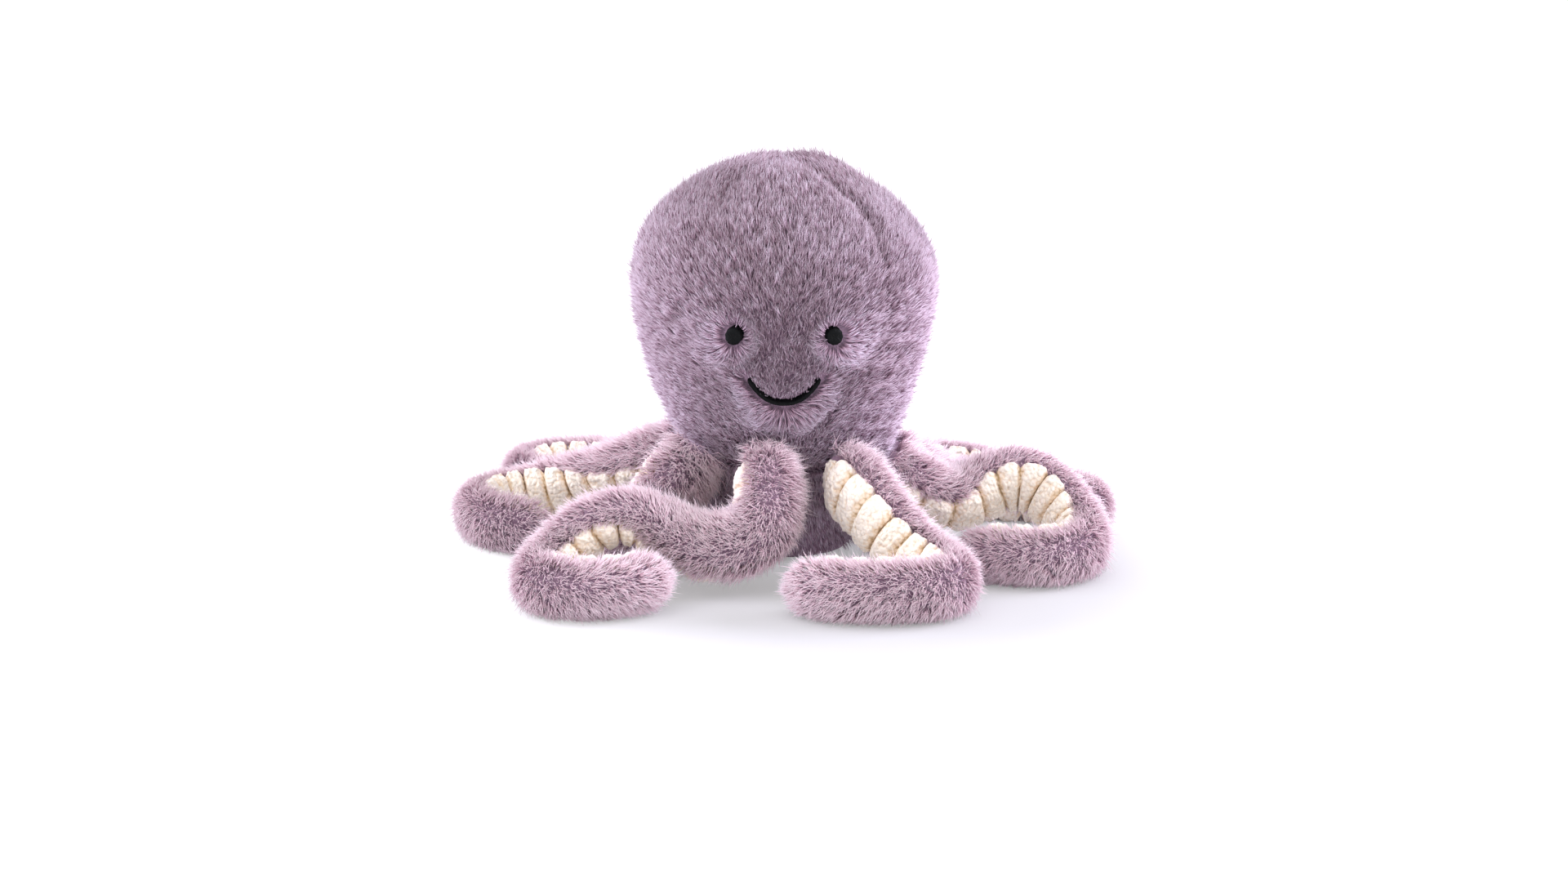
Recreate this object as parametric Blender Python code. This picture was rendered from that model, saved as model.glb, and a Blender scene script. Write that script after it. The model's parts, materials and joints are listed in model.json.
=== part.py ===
"""A plush octopus: a five-panel stuffed head on a weighted base, with eight soft arms.

Units are metres, +Z is up, and the toy faces -Y. The origin lies on the floor under the toy.
Each arm is a fur strip sewn to a ribbed terry strip round a filling. It swings at the seam
that joins it to the body and bends again half way along.
"""
import math

import bpy
import numpy as np

# Head and base
HEAD_TOP = 0.169
HEAD_RADIUS = 0.0642
WIDEST_HEIGHT = 0.116
SEAM_RADIUS = 0.0402
SEAM_HEIGHT = 0.036
SEAM_TILT = 0.008
BASE_FLAT_RADIUS = 0.024
PLUSH_WALL = 0.0055
BASE_WALL = 0.0035
CROWN_POWER_SHARE = 1.92
CHEEK_POWER_SHARE = 1.6
CROWN_TIP_SHARE = 0.02
BOWL_POWER_SHARE = 1.5
FRONT_DEGREES = -110.0

# The gap kept between two pieces of cloth that touch, and the ease of a filling in its sleeve
TOUCH_GAP = 0.0003
FILLING_EASE = 0.0010

# Panels of the head
PANEL_NAMES = ("front", "right", "back_right", "back_left", "left")
FIRST_PANEL_SEAM_DEGREES = -130.0
COLUMNS_PER_PANEL = 6
PANEL_ROWS = 10
BASE_ROWS = 4

# Embroidered face
EYE_SPACING = 0.0406
EYE_HEIGHT = 0.1035
EYE_WIDTH = 0.0068
EYE_TALLNESS = 0.0076
THREAD_HEIGHT = 0.0014
EYE_CROWN_SHARE = 0.7
MOUTH_WIDTH = 0.0292
MOUTH_HEIGHT = 0.0848
MOUTH_DROP = 0.0105
MOUTH_STROKE = 0.0020
EYE_STEPS = 14
MOUTH_STEPS = 16

# Arms
ARM_REACH = 0.100
ARM_WIDTH = 0.0270
ARM_THICKNESS = 0.0225
ARM_TIP_WIDTH = 0.0250
ARM_TIP_THICKNESS = 0.0205
ARM_FUR_WALL = 0.0048
TERRY_GAP = 0.0006
TERRY_INNER_GAP = 0.0014
RIB_PITCH = 0.013
RIB_DEPTH = 0.0012
FLAT_DEPTH = 0.0005
GATHER_LENGTH = 0.013
GATHER_SHARE = 0.80
TIP_LENGTH = 0.010
TIP_SHARE = 0.38
TIP_STATION_SHARES = (0.45, 0.12, 0.0)
LAST_RIB_SHARE = 0.75
CUP_GAP = 0.0013
ROOT_EASE = 0.0001
BEND_DEGREES = 20.0
ROUTE_SAMPLES = 480
EVENING_SHARE = 0.9
SECTION_POWER_SHARE = 0.86
CORE_END_SHARE = 0.85
FUR_EDGE_DEGREES = 58.0

# Where each arm leaves the body, in degrees round the toy, how far along it bends, and its route.
# A route's row holds a place east and north of the arm's root as shares of the arm's reach, its
# height as a share (0 lies on the floor, 1 is the height of the root), and where the terry faces,
# in degrees round the toy and above the floor.
ROUTE_SHARES = {
    "front_arm": (-98.0, 0.405, (
        (0.02, -0.14, 0.80, 160, -10), (0.00, -0.21, 0.56, 142, -10), (-0.06, -0.25, 0.36, 124, -14),
        (-0.15, -0.26, 0.26, 112, -24), (-0.26, -0.26, 0.28, 104, -42), (-0.38, -0.25, 0.44, 105, -66),
        (-0.49, -0.24, 0.67, 200, -86), (-0.62, -0.25, 0.70, 275, -66), (-0.75, -0.27, 0.52, 298, -50),
        (-0.86, -0.32, 0.22, 330, -20), (-0.92, -0.43, 0.00, 5, 0), (-0.88, -0.545, 0.00, 45, 8),
        (-0.76, -0.60, 0.00, 76, 16), (-0.62, -0.58, 0.00, 92, 22), (-0.50, -0.52, 0.00, 97, 22),
        (-0.40, -0.44, 0.10, 105, 15))),
    "front_right_arm": (-60.0, 0.34, (
        (0.11, -0.21, 0.72, 235, -12), (0.20, -0.29, 0.42, 232, -6), (0.30, -0.37, 0.15, 228, 0),
        (0.38, -0.45, 0.00, 210, 5), (0.42, -0.56, 0.00, 165, 5), (0.36, -0.66, 0.00, 110, 10),
        (0.20, -0.70, 0.00, 90, 10), (0.02, -0.69, 0.00, 85, 12), (-0.14, -0.65, 0.00, 78, 15),
        (-0.23, -0.57, 0.05, 60, 10))),
    "right_arm": (-22.0, 0.52, (
        (0.18, -0.03, 0.52, 275, -64), (0.28, 0.00, 0.54, 271, -50), (0.39, 0.03, 0.76, 267, -34),
        (0.51, 0.04, 0.92, 264, -22), (0.64, 0.00, 0.78, 256, -18), (0.74, -0.11, 0.34, 235, -14),
        (0.79, -0.26, 0.00, 185, 0), (0.72, -0.42, 0.00, 115, 15), (0.57, -0.47, 0.00, 92, 25),
        (0.40, -0.44, 0.00, 82, 25), (0.25, -0.36, 0.00, 70, 20))),
    "back_right_arm": (22.0, 0.50, (
        (0.16, 0.14, 0.34, 280, -20), (0.28, 0.20, 0.00, 272, 0), (0.44, 0.20, 0.00, 268, 5),
        (0.60, 0.17, 0.00, 265, 8), (0.74, 0.11, 0.00, 255, 10), (0.84, 0.01, 0.00, 225, 8),
        (0.86, -0.12, 0.00, 185, 5), (0.80, -0.22, 0.00, 150, 5))),
    "back_arm": (66.0, 0.55, (
        (0.14, 0.21, 0.40, 288, -20), (0.28, 0.29, 0.05, 275, 0), (0.44, 0.32, 0.00, 270, 3),
        (0.58, 0.29, 0.00, 262, 5), (0.72, 0.23, 0.00, 250, 5), (0.80, 0.17, 0.00, 240, 5))),
    "back_left_arm": (114.0, 0.50, (
        (-0.18, 0.19, 0.34, 262, -15), (-0.33, 0.25, 0.05, 268, 0), (-0.50, 0.31, 0.00, 270, 5),
        (-0.66, 0.36, 0.00, 272, 5), (-0.82, 0.37, 0.00, 285, 6), (-0.94, 0.31, 0.00, 322, 6),
        (-0.98, 0.19, 0.00, 5, 6), (-0.93, 0.08, 0.00, 48, 5), (-0.81, 0.03, 0.00, 85, 2))),
    "left_arm": (162.0, 0.40, (
        (-0.25, 0.04, 0.62, 258, -65), (-0.38, 0.08, 0.40, 266, -34), (-0.52, 0.11, 0.20, 270, 2),
        (-0.66, 0.105, 0.00, 276, 14), (-0.78, 0.065, 0.00, 300, 15), (-0.85, -0.045, 0.00, 345, 10),
        (-0.82, -0.20, 0.00, 50, 5), (-0.72, -0.31, 0.00, 80, 10), (-0.60, -0.35, 0.00, 92, 12),
        (-0.51, -0.35, 0.00, 96, 8))),
    "front_left_arm": (-140.0, 0.36, (
        (-0.09, -0.08, 0.70, 160, -15), (-0.16, -0.125, 0.40, 150, -10), (-0.23, -0.15, 0.16, 132, -5),
        (-0.30, -0.15, 0.03, 100, 0), (-0.37, -0.115, 0.00, 65, 0), (-0.41, -0.05, 0.00, 28, 3),
        (-0.415, 0.03, 0.00, 0, 5), (-0.385, 0.105, 0.00, 335, 5), (-0.32, 0.155, 0.00, 305, 5),
        (-0.235, 0.175, 0.00, 280, 5))),
}

# Colours as linear values
MAUVE_PLUSH = (0.371, 0.266, 0.392)
CREAM_TERRY = (0.847, 0.791, 0.604)
WHITE_FIBRE = (0.83, 0.83, 0.80)
BLACK_THREAD = (0.006, 0.008, 0.010)
BAG_COTTON = (0.60, 0.57, 0.50)


def clear_objects():
    """Empty the scene, so that the script can run again."""
    for item in list(bpy.data.objects):
        bpy.data.objects.remove(item, do_unlink=True)


def cloth(name, colour, roughness):
    """A plain material with a colour and a roughness."""
    material = bpy.data.materials.new(name)
    material.use_nodes = True
    shader = material.node_tree.nodes["Principled BSDF"]
    shader.inputs["Base Color"].default_value = (*colour, 1.0)
    shader.inputs["Roughness"].default_value = roughness
    shader.inputs["Metallic"].default_value = 0.0
    return material


def add_empty(name, place, parent=None):
    """An empty on a joint's axis, which carries the pieces that move about it."""
    empty = bpy.data.objects.new(name, None)
    bpy.context.collection.objects.link(empty)
    empty.empty_display_size = ARM_THICKNESS
    base = parent["place"] if parent else np.zeros(3)
    empty.location = place - base
    if parent:
        empty.parent = parent["empty"]
    return {"empty": empty, "place": place}


def add_solid(name, points, faces, material, carrier=None):
    """One closed mesh, given in world coordinates, hung on its carrier if it has one."""
    base = carrier["place"] if carrier else np.zeros(3)
    mesh = bpy.data.meshes.new(name)
    mesh.from_pydata((np.asarray(points) - base).tolist(), [], faces)
    mesh.validate()
    mesh.update()
    mesh.shade_smooth()
    mesh.set_sharp_from_angle(angle=math.radians(50.0))
    mesh.materials.append(material)
    solid = bpy.data.objects.new(name, mesh)
    bpy.context.collection.objects.link(solid)
    if carrier:
        solid.parent = carrier["empty"]
    return solid


def unit(vectors):
    """Vectors, each divided by its length."""
    return vectors / np.linalg.norm(vectors, axis=-1, keepdims=True)


def on_circle(degrees):
    """The unit vector, or vectors, at an angle round the toy."""
    turn = np.radians(degrees)
    return np.stack([np.cos(turn), np.sin(turn)], axis=-1)


# Body surface

def seam_height(degrees):
    """The seam between head and base, a level plane tipped so that its front is higher."""
    return SEAM_HEIGHT + SEAM_TILT * np.cos(np.radians(degrees - FRONT_DEGREES))


def head_radius(height, degrees):
    """Radius of the head: a full crown above its widest height, tapering in to the seam below."""
    above = np.clip((height - WIDEST_HEIGHT) / (HEAD_TOP - WIDEST_HEIGHT), 0, 1)
    below = np.clip((WIDEST_HEIGHT - height) / (WIDEST_HEIGHT - seam_height(degrees)), 0, 1)
    crown = HEAD_RADIUS * np.sqrt(1 - above ** CROWN_POWER_SHARE)
    return crown - (HEAD_RADIUS - SEAM_RADIUS) * below ** CHEEK_POWER_SHARE


def base_radius(height, degrees):
    """Radius of the base: a shallow bowl from the seam to a flat foot."""
    share = np.clip(height / seam_height(degrees), 0, 1)
    return BASE_FLAT_RADIUS + (SEAM_RADIUS - BASE_FLAT_RADIUS) * np.sqrt(1 - (1 - share) ** 2)


def head_grid(degrees, depth):
    """Rows of points from seam to crown at the given angles, sunk by depth under the surface.

    The rows crowd towards the crown, as the heights follow a sine. The lowest row sinks
    level, so that it stays in the plane of the seam."""
    share = np.sin(np.linspace(0, math.pi / 2, PANEL_ROWS))[:, None]
    low = seam_height(degrees)[None, :] + TOUCH_GAP / 2
    top = HEAD_TOP * (1 - CROWN_TIP_SHARE ** 2)
    height = low + (top - low) * share
    radius = head_radius(height, degrees[None, :])
    slope_r = np.gradient(radius, axis=0)
    slope_z = np.gradient(height, axis=0)
    slope_r[0] = 0
    slope_z[0] = 1
    length = np.hypot(slope_r, slope_z)
    radius = np.maximum(radius - depth * slope_z / length, TOUCH_GAP * 2)
    height = height + depth * slope_r / length
    return radius, height


def base_grid(degrees, depth, fall=0.0):
    """Rows of points from the flat foot up to the seam, sunk by depth into the bowl.

    The top row stops short of the seam by fall."""
    share = np.linspace(0, 1, BASE_ROWS)[:, None] ** BOWL_POWER_SHARE
    top = seam_height(degrees)[None, :] - TOUCH_GAP / 2 - fall
    height = depth + (top - depth) * share
    radius = base_radius(height, degrees[None, :]) - depth
    return radius, height


def round_points(radius, height, degrees):
    """World points of a grid of radii and heights, one column for each angle."""
    direction = on_circle(degrees)
    return np.stack([radius * direction[:, 0], radius * direction[:, 1], height], axis=-1)


def grid_faces(rows, columns, start=0, closed=False, flip=False):
    """Quads of a grid of points, row by row, joined round the back if it is closed."""
    faces = []
    for row in range(rows - 1):
        for column in range(columns if closed else columns - 1):
            after = (column + 1) % columns
            low = start + row * columns
            high = low + columns
            face = (low + column, low + after, high + after, high + column)
            faces.append(face[::-1] if flip else face)
    return faces


def head_panel(name, first_degrees, last_degrees, material):
    """One panel of the head: a gore from the seam to the crown with a constant wall."""
    degrees = np.linspace(first_degrees, last_degrees, COLUMNS_PER_PANEL + 1)
    shells = []
    for depth in (0.0, PLUSH_WALL):
        radius, height = head_grid(degrees, depth)
        inset = np.degrees(np.arcsin(np.clip(TOUCH_GAP / 2 / radius, 0, 1)))
        turned = np.repeat(degrees[None, :], PANEL_ROWS, axis=0)
        middle = (first_degrees + last_degrees) / 2
        turned = middle + (turned - middle) * (1 - 2 * inset / (last_degrees - first_degrees))
        direction = on_circle(turned)
        shells.append(np.dstack([radius * direction[..., 0], radius * direction[..., 1], height]))
    points = np.concatenate([shell.reshape(-1, 3) for shell in shells])
    columns = COLUMNS_PER_PANEL + 1
    inner = PANEL_ROWS * columns
    faces = grid_faces(PANEL_ROWS, columns)
    faces += grid_faces(PANEL_ROWS, columns, inner, flip=True)
    rim = list(range(columns))
    rim += [row * columns + columns - 1 for row in range(1, PANEL_ROWS)]
    rim += [(PANEL_ROWS - 1) * columns + column for column in range(columns - 2, -1, -1)]
    rim += [row * columns for row in range(PANEL_ROWS - 2, 0, -1)]
    for here, there in zip(rim, rim[1:] + rim[:1]):
        faces.append((there, here, inner + here, inner + there))
    return add_solid(name, points, faces, material)


def all_degrees():
    """The angles of every column of facets round the body."""
    count = COLUMNS_PER_PANEL * len(PANEL_NAMES)
    return FIRST_PANEL_SEAM_DEGREES + np.arange(count) * 360.0 / count


def base_panel(material):
    """The base: a bowl with an open top and a flat foot, inside and outside."""
    degrees = all_degrees()
    columns = len(degrees)
    outer = round_points(*base_grid(degrees, 0.0), degrees)
    inner = round_points(*base_grid(degrees, BASE_WALL), degrees)
    points = np.concatenate([outer.reshape(-1, 3), inner.reshape(-1, 3)])
    start = BASE_ROWS * columns
    faces = grid_faces(BASE_ROWS, columns, closed=True)
    faces += grid_faces(BASE_ROWS, columns, start, closed=True, flip=True)
    top = (BASE_ROWS - 1) * columns
    for column in range(columns):
        after = (column + 1) % columns
        faces.append((top + column, top + after, start + top + after, start + top + column))
    faces.append(tuple(range(columns))[::-1])
    faces.append(tuple(range(start, start + columns)))
    return add_solid("base_panel", points, faces, material)


def head_filling(material):
    """The stuffing of the head: the inside of the panels, flat where it rests on the bag."""
    degrees = all_degrees()
    columns = len(degrees)
    points = round_points(*head_grid(degrees, PLUSH_WALL + FILLING_EASE), degrees).reshape(-1, 3)
    faces = grid_faces(PANEL_ROWS, columns, closed=True)
    faces.append(tuple(range(columns))[::-1])
    top = (PANEL_ROWS - 1) * columns
    faces.append(tuple(range(top, top + columns)))
    return add_solid("head_stuffing", points, faces, material)


def pellet_bag(material):
    """The bag of pellets that weights the base: it fills the bowl up to the stuffing."""
    degrees = all_degrees()
    columns = len(degrees)
    radius, height = base_grid(degrees, BASE_WALL + FILLING_EASE, FILLING_EASE)
    points = round_points(radius, height, degrees).reshape(-1, 3)
    faces = grid_faces(BASE_ROWS, columns, closed=True)
    faces.append(tuple(range(columns))[::-1])
    top = (BASE_ROWS - 1) * columns
    faces.append(tuple(range(top, top + columns)))
    return add_solid("pellet_bag", points, faces, material)


# Embroidered face

def face_point(across, height, lift):
    """A point of the face, lifted off the head's surface along its normal."""
    angle = np.degrees(np.arcsin(across / head_radius(height, -90.0))) - 90.0
    radius = head_radius(height, angle)
    step = TOUCH_GAP
    slope = (head_radius(height + step, angle) - head_radius(height - step, angle)) / (2 * step)
    outward = 1 / np.sqrt(1 + slope ** 2)
    direction = on_circle(angle)
    return np.stack([
        (radius + lift * outward) * direction[..., 0],
        (radius + lift * outward) * direction[..., 1],
        height - lift * outward * slope,
    ], axis=-1)


def embroidered_eye(name, side, material):
    """An eye: a low dome of thread with an oval outline."""
    turn = np.arange(EYE_STEPS) * 2 * math.pi / EYE_STEPS
    rings = []
    for share, lift in ((1.0, TOUCH_GAP), (1.0, THREAD_HEIGHT / 2), (EYE_CROWN_SHARE, THREAD_HEIGHT)):
        across = side * EYE_SPACING / 2 + share * EYE_WIDTH / 2 * np.cos(turn)
        height = EYE_HEIGHT + share * EYE_TALLNESS / 2 * np.sin(turn)
        rings.append(face_point(across, height, lift))
    points = np.concatenate(rings)
    faces = grid_faces(len(rings), EYE_STEPS, closed=True)
    faces.append(tuple(range(EYE_STEPS))[::-1])
    faces.append(tuple(range(2 * EYE_STEPS, 3 * EYE_STEPS)))
    return add_solid(name, points, faces, material)


def embroidered_mouth(material):
    """The smile: a raised line of thread that sags as a parabola between its two ends."""
    share = np.linspace(-1, 1, MOUTH_STEPS)
    across = share * MOUTH_WIDTH / 2
    middle = MOUTH_HEIGHT - MOUTH_DROP * (1 - share ** 2)
    half = MOUTH_STROKE / 2
    rings = []
    for rise, lift in ((half, TOUCH_GAP), (-half, TOUCH_GAP), (-half, THREAD_HEIGHT), (half, THREAD_HEIGHT)):
        rings.append(face_point(across, middle + rise, lift))
    points = np.stack(rings, axis=1).reshape(-1, 3)
    faces = grid_faces(MOUTH_STEPS, 4, closed=True)
    faces.append((3, 2, 1, 0))
    last = (MOUTH_STEPS - 1) * 4
    faces.append((last, last + 1, last + 2, last + 3))
    return add_solid("mouth", points, [face[::-1] for face in faces], material)


# Arm routes

def root_place(degrees, reach):
    """The hinge of an arm at the seam's height, with the body just out of reach all round it."""
    level = seam_height(degrees)
    heights = level + np.linspace(-reach, reach, 81)
    body = np.where(heights > level, head_radius(heights, degrees), base_radius(heights, degrees))
    out = np.max(body + np.sqrt(np.maximum(reach ** 2 - (heights - level) ** 2, 0)))
    return np.append(out * on_circle(degrees), level)


def smooth_curve(points, count):
    """A Catmull-Rom curve through the rows of points, sampled evenly between rows."""
    padded = np.vstack([2 * points[0] - points[1], points, 2 * points[-1] - points[-2]])
    place = np.linspace(0, len(points) - 1, count)
    index = np.minimum(place.astype(int), len(points) - 2)
    t = (place - index)[:, None]
    a, b, c, d = padded[index], padded[index + 1], padded[index + 2], padded[index + 3]
    return (2 * b + (c - a) * t + (2 * a - 5 * b + 4 * c - d) * t ** 2 + (3 * b - a - 3 * c + d) * t ** 3) / 2


def evened(values, reach):
    """Rows of values, each the mean of its neighbours within reach; the two ends stay put."""
    before = 2 * values[:1] - values[reach:0:-1]
    after = 2 * values[-1:] - values[-2:-reach - 2:-1]
    total = np.cumsum(np.vstack([values[:1] * 0, before, values, after]), axis=0)
    width = 2 * reach + 1
    return (total[width:] - total[:-width]) / width


def arm_half_sizes(share, distance, length):
    """Half width, half thickness and size share of an arm at a share of its length."""
    width = ARM_WIDTH + (ARM_TIP_WIDTH - ARM_WIDTH) * share
    thickness = ARM_THICKNESS + (ARM_TIP_THICKNESS - ARM_THICKNESS) * share
    rise = np.clip(distance / GATHER_LENGTH, 0, 1)
    gather = GATHER_SHARE + (1 - GATHER_SHARE) * np.sin(rise * math.pi / 2)
    near_tip = np.clip(1 - (length - distance) / TIP_LENGTH, 0, 1)
    size = gather * (TIP_SHARE + (1 - TIP_SHARE) * np.sqrt(1 - near_tip ** 2))
    return width / 2 * size, thickness / 2 * size, size


def arm_route(root, rows):
    """The middle line of an arm and the way its terry faces, at many places along it.

    Where its height share is zero an arm lies on the floor, whatever its size and turn, as its
    height follows from its own lowest point."""
    rows = np.array(rows)
    facing = np.radians(rows[:, 3:5])
    terry = np.stack([np.cos(facing[:, 0]) * np.cos(facing[:, 1]),
                      np.sin(facing[:, 0]) * np.cos(facing[:, 1]), np.sin(facing[:, 1])], axis=1)
    places = np.vstack([[0, 0], rows[:, :2] * ARM_REACH])
    heights = np.append(1, rows[:, 2])
    facings = np.vstack([terry[:1], terry])
    dense = smooth_curve(np.column_stack([places, heights, facings]), ROUTE_SAMPLES)
    dense = evened(dense, int(ROUTE_SAMPLES * EVENING_SHARE / len(rows)))
    lift = dense[:, 2]
    height = ARM_WIDTH / 2 + lift * (root[2] - ARM_WIDTH / 2)
    for _ in range(5):
        line = np.column_stack([dense[:, :2] + root[:2], height])
        along = unit(np.gradient(line, axis=0))
        face = dense[:, 3:6] - along * np.sum(dense[:, 3:6] * along, axis=1, keepdims=True)
        face = unit(face)
        side = np.cross(along, face)
        distance = np.append(0, np.cumsum(np.linalg.norm(np.diff(line, axis=0), axis=1)))
        half_width, half_thickness, _ = arm_half_sizes(distance / distance[-1], distance, distance[-1])
        rest = np.hypot(half_width * side[:, 2], half_thickness * face[:, 2])
        rest = evened(rest[:, None], ROUTE_SAMPLES // 16)[:, 0]
        low = rest - FLAT_DEPTH
        height = low + lift * (root[2] - low)
    return {"root": root, "line": line, "along": along, "face": face, "distance": distance}


def frame_at(route, distance):
    """Place, direction, terry facing and side of a route at a distance along it."""
    def read(values):
        return np.array([np.interp(distance, route["distance"], values[:, axis]) for axis in range(3)])
    along = unit(read(route["along"]))
    face = read(route["face"])
    face = unit(face - along * np.dot(face, along))
    return read(route["line"]), along, face, np.cross(along, face)


# Arm sections, as points (towards the terry, to the side) of one section

def oval(half_thickness, half_width, degrees):
    """Points of a rounded oval, a little squarer than an ellipse."""
    turn = np.radians(np.asarray(degrees, float))
    out = np.sign(np.cos(turn)) * np.abs(np.cos(turn)) ** SECTION_POWER_SHARE
    side = np.sign(np.sin(turn)) * np.abs(np.sin(turn)) ** SECTION_POWER_SHARE
    return np.column_stack([half_thickness * out, half_width * side])


def fur_section(half_width, half_thickness, size):
    """The fur strip: an open channel, seven points round its outside and five inside."""
    edge = FUR_EDGE_DEGREES
    wall = ARM_FUR_WALL * size
    outside = oval(half_thickness, half_width, (edge, 98, 139, 180, 221, 262, 360 - edge))
    inside = oval(half_thickness - wall, half_width - wall, (360 - edge, 248, 180, 112, edge))
    return outside, inside


def terry_section(half_width, half_thickness, size, rib):
    """The terry strip between the fur's two edges, with its rib raised by the given height."""
    outside, inside = fur_section(half_width, half_thickness, size)
    lip_out, lip_in = outside[0], inside[-1]
    gap = np.array([0.0, TERRY_GAP])
    inner_gap = np.array([0.0, TERRY_INNER_GAP])
    arc = oval(half_thickness + rib * size, half_width, (-32, 0, 32))
    mirror = np.array([1.0, -1.0])
    outer = np.vstack([(lip_out - gap) * mirror, arc, lip_out - gap])
    inner = np.vstack([lip_in - inner_gap, (lip_in - inner_gap) * mirror])
    return outer, inner


def filling_section(half_width, half_thickness, size):
    """The filling: the inside of the channel with its ease, flat against the terry."""
    edge = FUR_EDGE_DEGREES
    wall = ARM_FUR_WALL * size + FILLING_EASE
    points = oval(half_thickness - wall, half_width - wall, (edge, 112, 180, 248, 360 - edge))
    outer, inner = terry_section(half_width, half_thickness, size, 0.0)
    flat = inner[0, 0] - FILLING_EASE
    points[[0, -1], 0] = np.minimum(points[[0, -1], 0], flat)
    return points


def strip_caps(outer_count, inner_count):
    """Triangles that close the end of a strip between its outside and its inside points."""
    faces = []
    outer = 0
    inner = inner_count - 1
    while outer < outer_count - 1 or inner > 0:
        outer_share = (outer + 1) / (outer_count - 1)
        inner_share = (inner_count - inner) / (inner_count - 1)
        if inner == 0 or (outer < outer_count - 1 and outer_share <= inner_share):
            faces.append((outer, outer + 1, outer_count + inner))
            outer += 1
        else:
            faces.append((outer, outer_count + inner - 1, outer_count + inner))
            inner -= 1
    return faces


def loft(name, rings, forward, caps, material, carrier):
    """A closed solid through rings of points, cut flat at the floor.

    forward says, for each edge of a ring, whether it runs the way that all the strips count
    their diagonals. Strips that touch then fold along the same lines where the arm twists."""
    rings = np.array(rings)
    rings[..., 2] = np.maximum(rings[..., 2], 0.0)
    count, size = rings.shape[:2]
    faces = []
    for low, low_after, high_after, high in grid_faces(count, size, closed=True):
        if forward[low % size]:
            faces += [(low, low_after, high_after), (low, high_after, high)]
        else:
            faces += [(low, low_after, high), (low_after, high_after, high)]
    last = (count - 1) * size
    faces += [face[::-1] for face in caps]
    faces += [tuple(last + point for point in face) for face in caps]
    return add_solid(name, rings.reshape(-1, 3), faces, material, carrier)


def ring_of(frame, section, slide=0.0):
    """World points of a section in a frame, slid along the arm by one length or one a point."""
    place, along, face, side = frame
    slide = np.broadcast_to(slide, len(section))
    return place + section[:, :1] * face + section[:, 1:] * side + slide[:, None] * along


def round_slide(frame, section, axis, radius, least=0.0):
    """How far each point slides back to lie on a cylinder about the hinge's axis."""
    place, along, face, side = frame
    offset = section[:, :1] * face + section[:, 1:] * side
    square = along - axis * np.dot(along, axis)
    slope = np.linalg.norm(square)
    square = square / slope
    across = offset @ np.cross(axis, square)
    depth = np.sqrt(np.maximum(radius ** 2 - across ** 2, 0))
    return -(np.maximum(depth, least) + offset @ square) / slope


def round_end(frame, sizes, axis, radius, least=0.0):
    """The last rings of fur and terry, slid back onto a cylinder about the hinge's axis.

    The terry's two edges slide as far as the fur's edges beside them."""
    fur = np.vstack(fur_section(*sizes))
    terry = np.vstack(terry_section(*sizes, 0.0))
    fur_slide = round_slide(frame, fur, axis, radius, least)
    terry_slide = round_slide(frame, terry, axis, radius, least)
    terry_slide[[0, 4, 5, 6]] = fur_slide[[6, 0, 11, 7]]
    return ring_of(frame, fur, fur_slide), ring_of(frame, terry, terry_slide)


def arm_segment(name, route, span, ends, materials, carrier):
    """The fur, terry and filling of one length of an arm, lofted through shared stations.

    span is where the length begins and stops. Its ends are a round nose about the hinge it
    hangs on and, on an inner length, a cup round the nose of the outer one."""
    length = route["distance"][-1]
    start, stop = span
    nose_axis, cup = ends
    half_pitch = RIB_PITCH / 2
    clear = 0.0
    if cup:
        clear = cup["radius"] + CUP_GAP + half_pitch / 2
    first = start + half_pitch / 2
    count = max(2, int(round((stop - clear - first) / half_pitch)) + 1)
    stations = np.linspace(first, stop - clear, count)
    if not cup:
        tip_stations = stop - TIP_LENGTH * np.array(TIP_STATION_SHARES)
        stations = np.concatenate([stations[stations < stop - TIP_LENGTH * LAST_RIB_SHARE], tip_stations])

    def sizes(distance):
        return arm_half_sizes(distance / length, distance, length)

    start_frame = frame_at(route, start)
    radius = nose_radius(route, start, nose_axis)
    fur_ring, terry_ring = round_end(start_frame, sizes(start), nose_axis, radius)
    fur = [fur_ring]
    terry = [terry_ring]
    core = []
    for number, station in enumerate(stations):
        frame = frame_at(route, station)
        half_width, half_thickness, size = sizes(station)
        rib = RIB_DEPTH if number % 2 == 0 else -RIB_DEPTH / 2
        fur.append(ring_of(frame, np.vstack(fur_section(half_width, half_thickness, size))))
        terry.append(ring_of(frame, np.vstack(terry_section(half_width, half_thickness, size, rib))))
        if cup or station <= stop - TIP_LENGTH * TIP_STATION_SHARES[0]:
            shrink = CORE_END_SHARE if not core else 1.0
            core.append(ring_of(frame, filling_section(half_width, half_thickness, size) * shrink))
    if cup:
        hollow = cup["radius"] + CUP_GAP
        horn = cup["radius"] * math.sin(math.radians(BEND_DEGREES)) + CUP_GAP
        fur_ring, terry_ring = round_end(frame_at(route, stop), sizes(stop), cup["axis"], hollow, horn)
        fur.append(fur_ring)
        terry.append(terry_ring)
    loft(name + "_fur", fur, [True] * 7 + [False] * 5, strip_caps(7, 5), materials["plush"], carrier)
    loft(name + "_terry", terry, [True] * 5 + [False] * 2, strip_caps(5, 2), materials["terry"], carrier)
    loft(name + "_filling", core, [True] * 5, [(0, 1, 2), (0, 2, 3), (0, 3, 4)], materials["fibre"], carrier)


def nose_radius(route, distance, axis):
    """Radius of the round nose that an arm has at a distance along it, about an axis."""
    place, along, face, side = frame_at(route, distance)
    length = route["distance"][-1]
    sizes = arm_half_sizes(distance / length, distance, length)
    section = np.vstack([*fur_section(*sizes), *terry_section(*sizes, 0.0)])
    offset = section[:, :1] * face + section[:, 1:] * side
    return np.linalg.norm(np.cross(axis, offset), axis=1).max()


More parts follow.
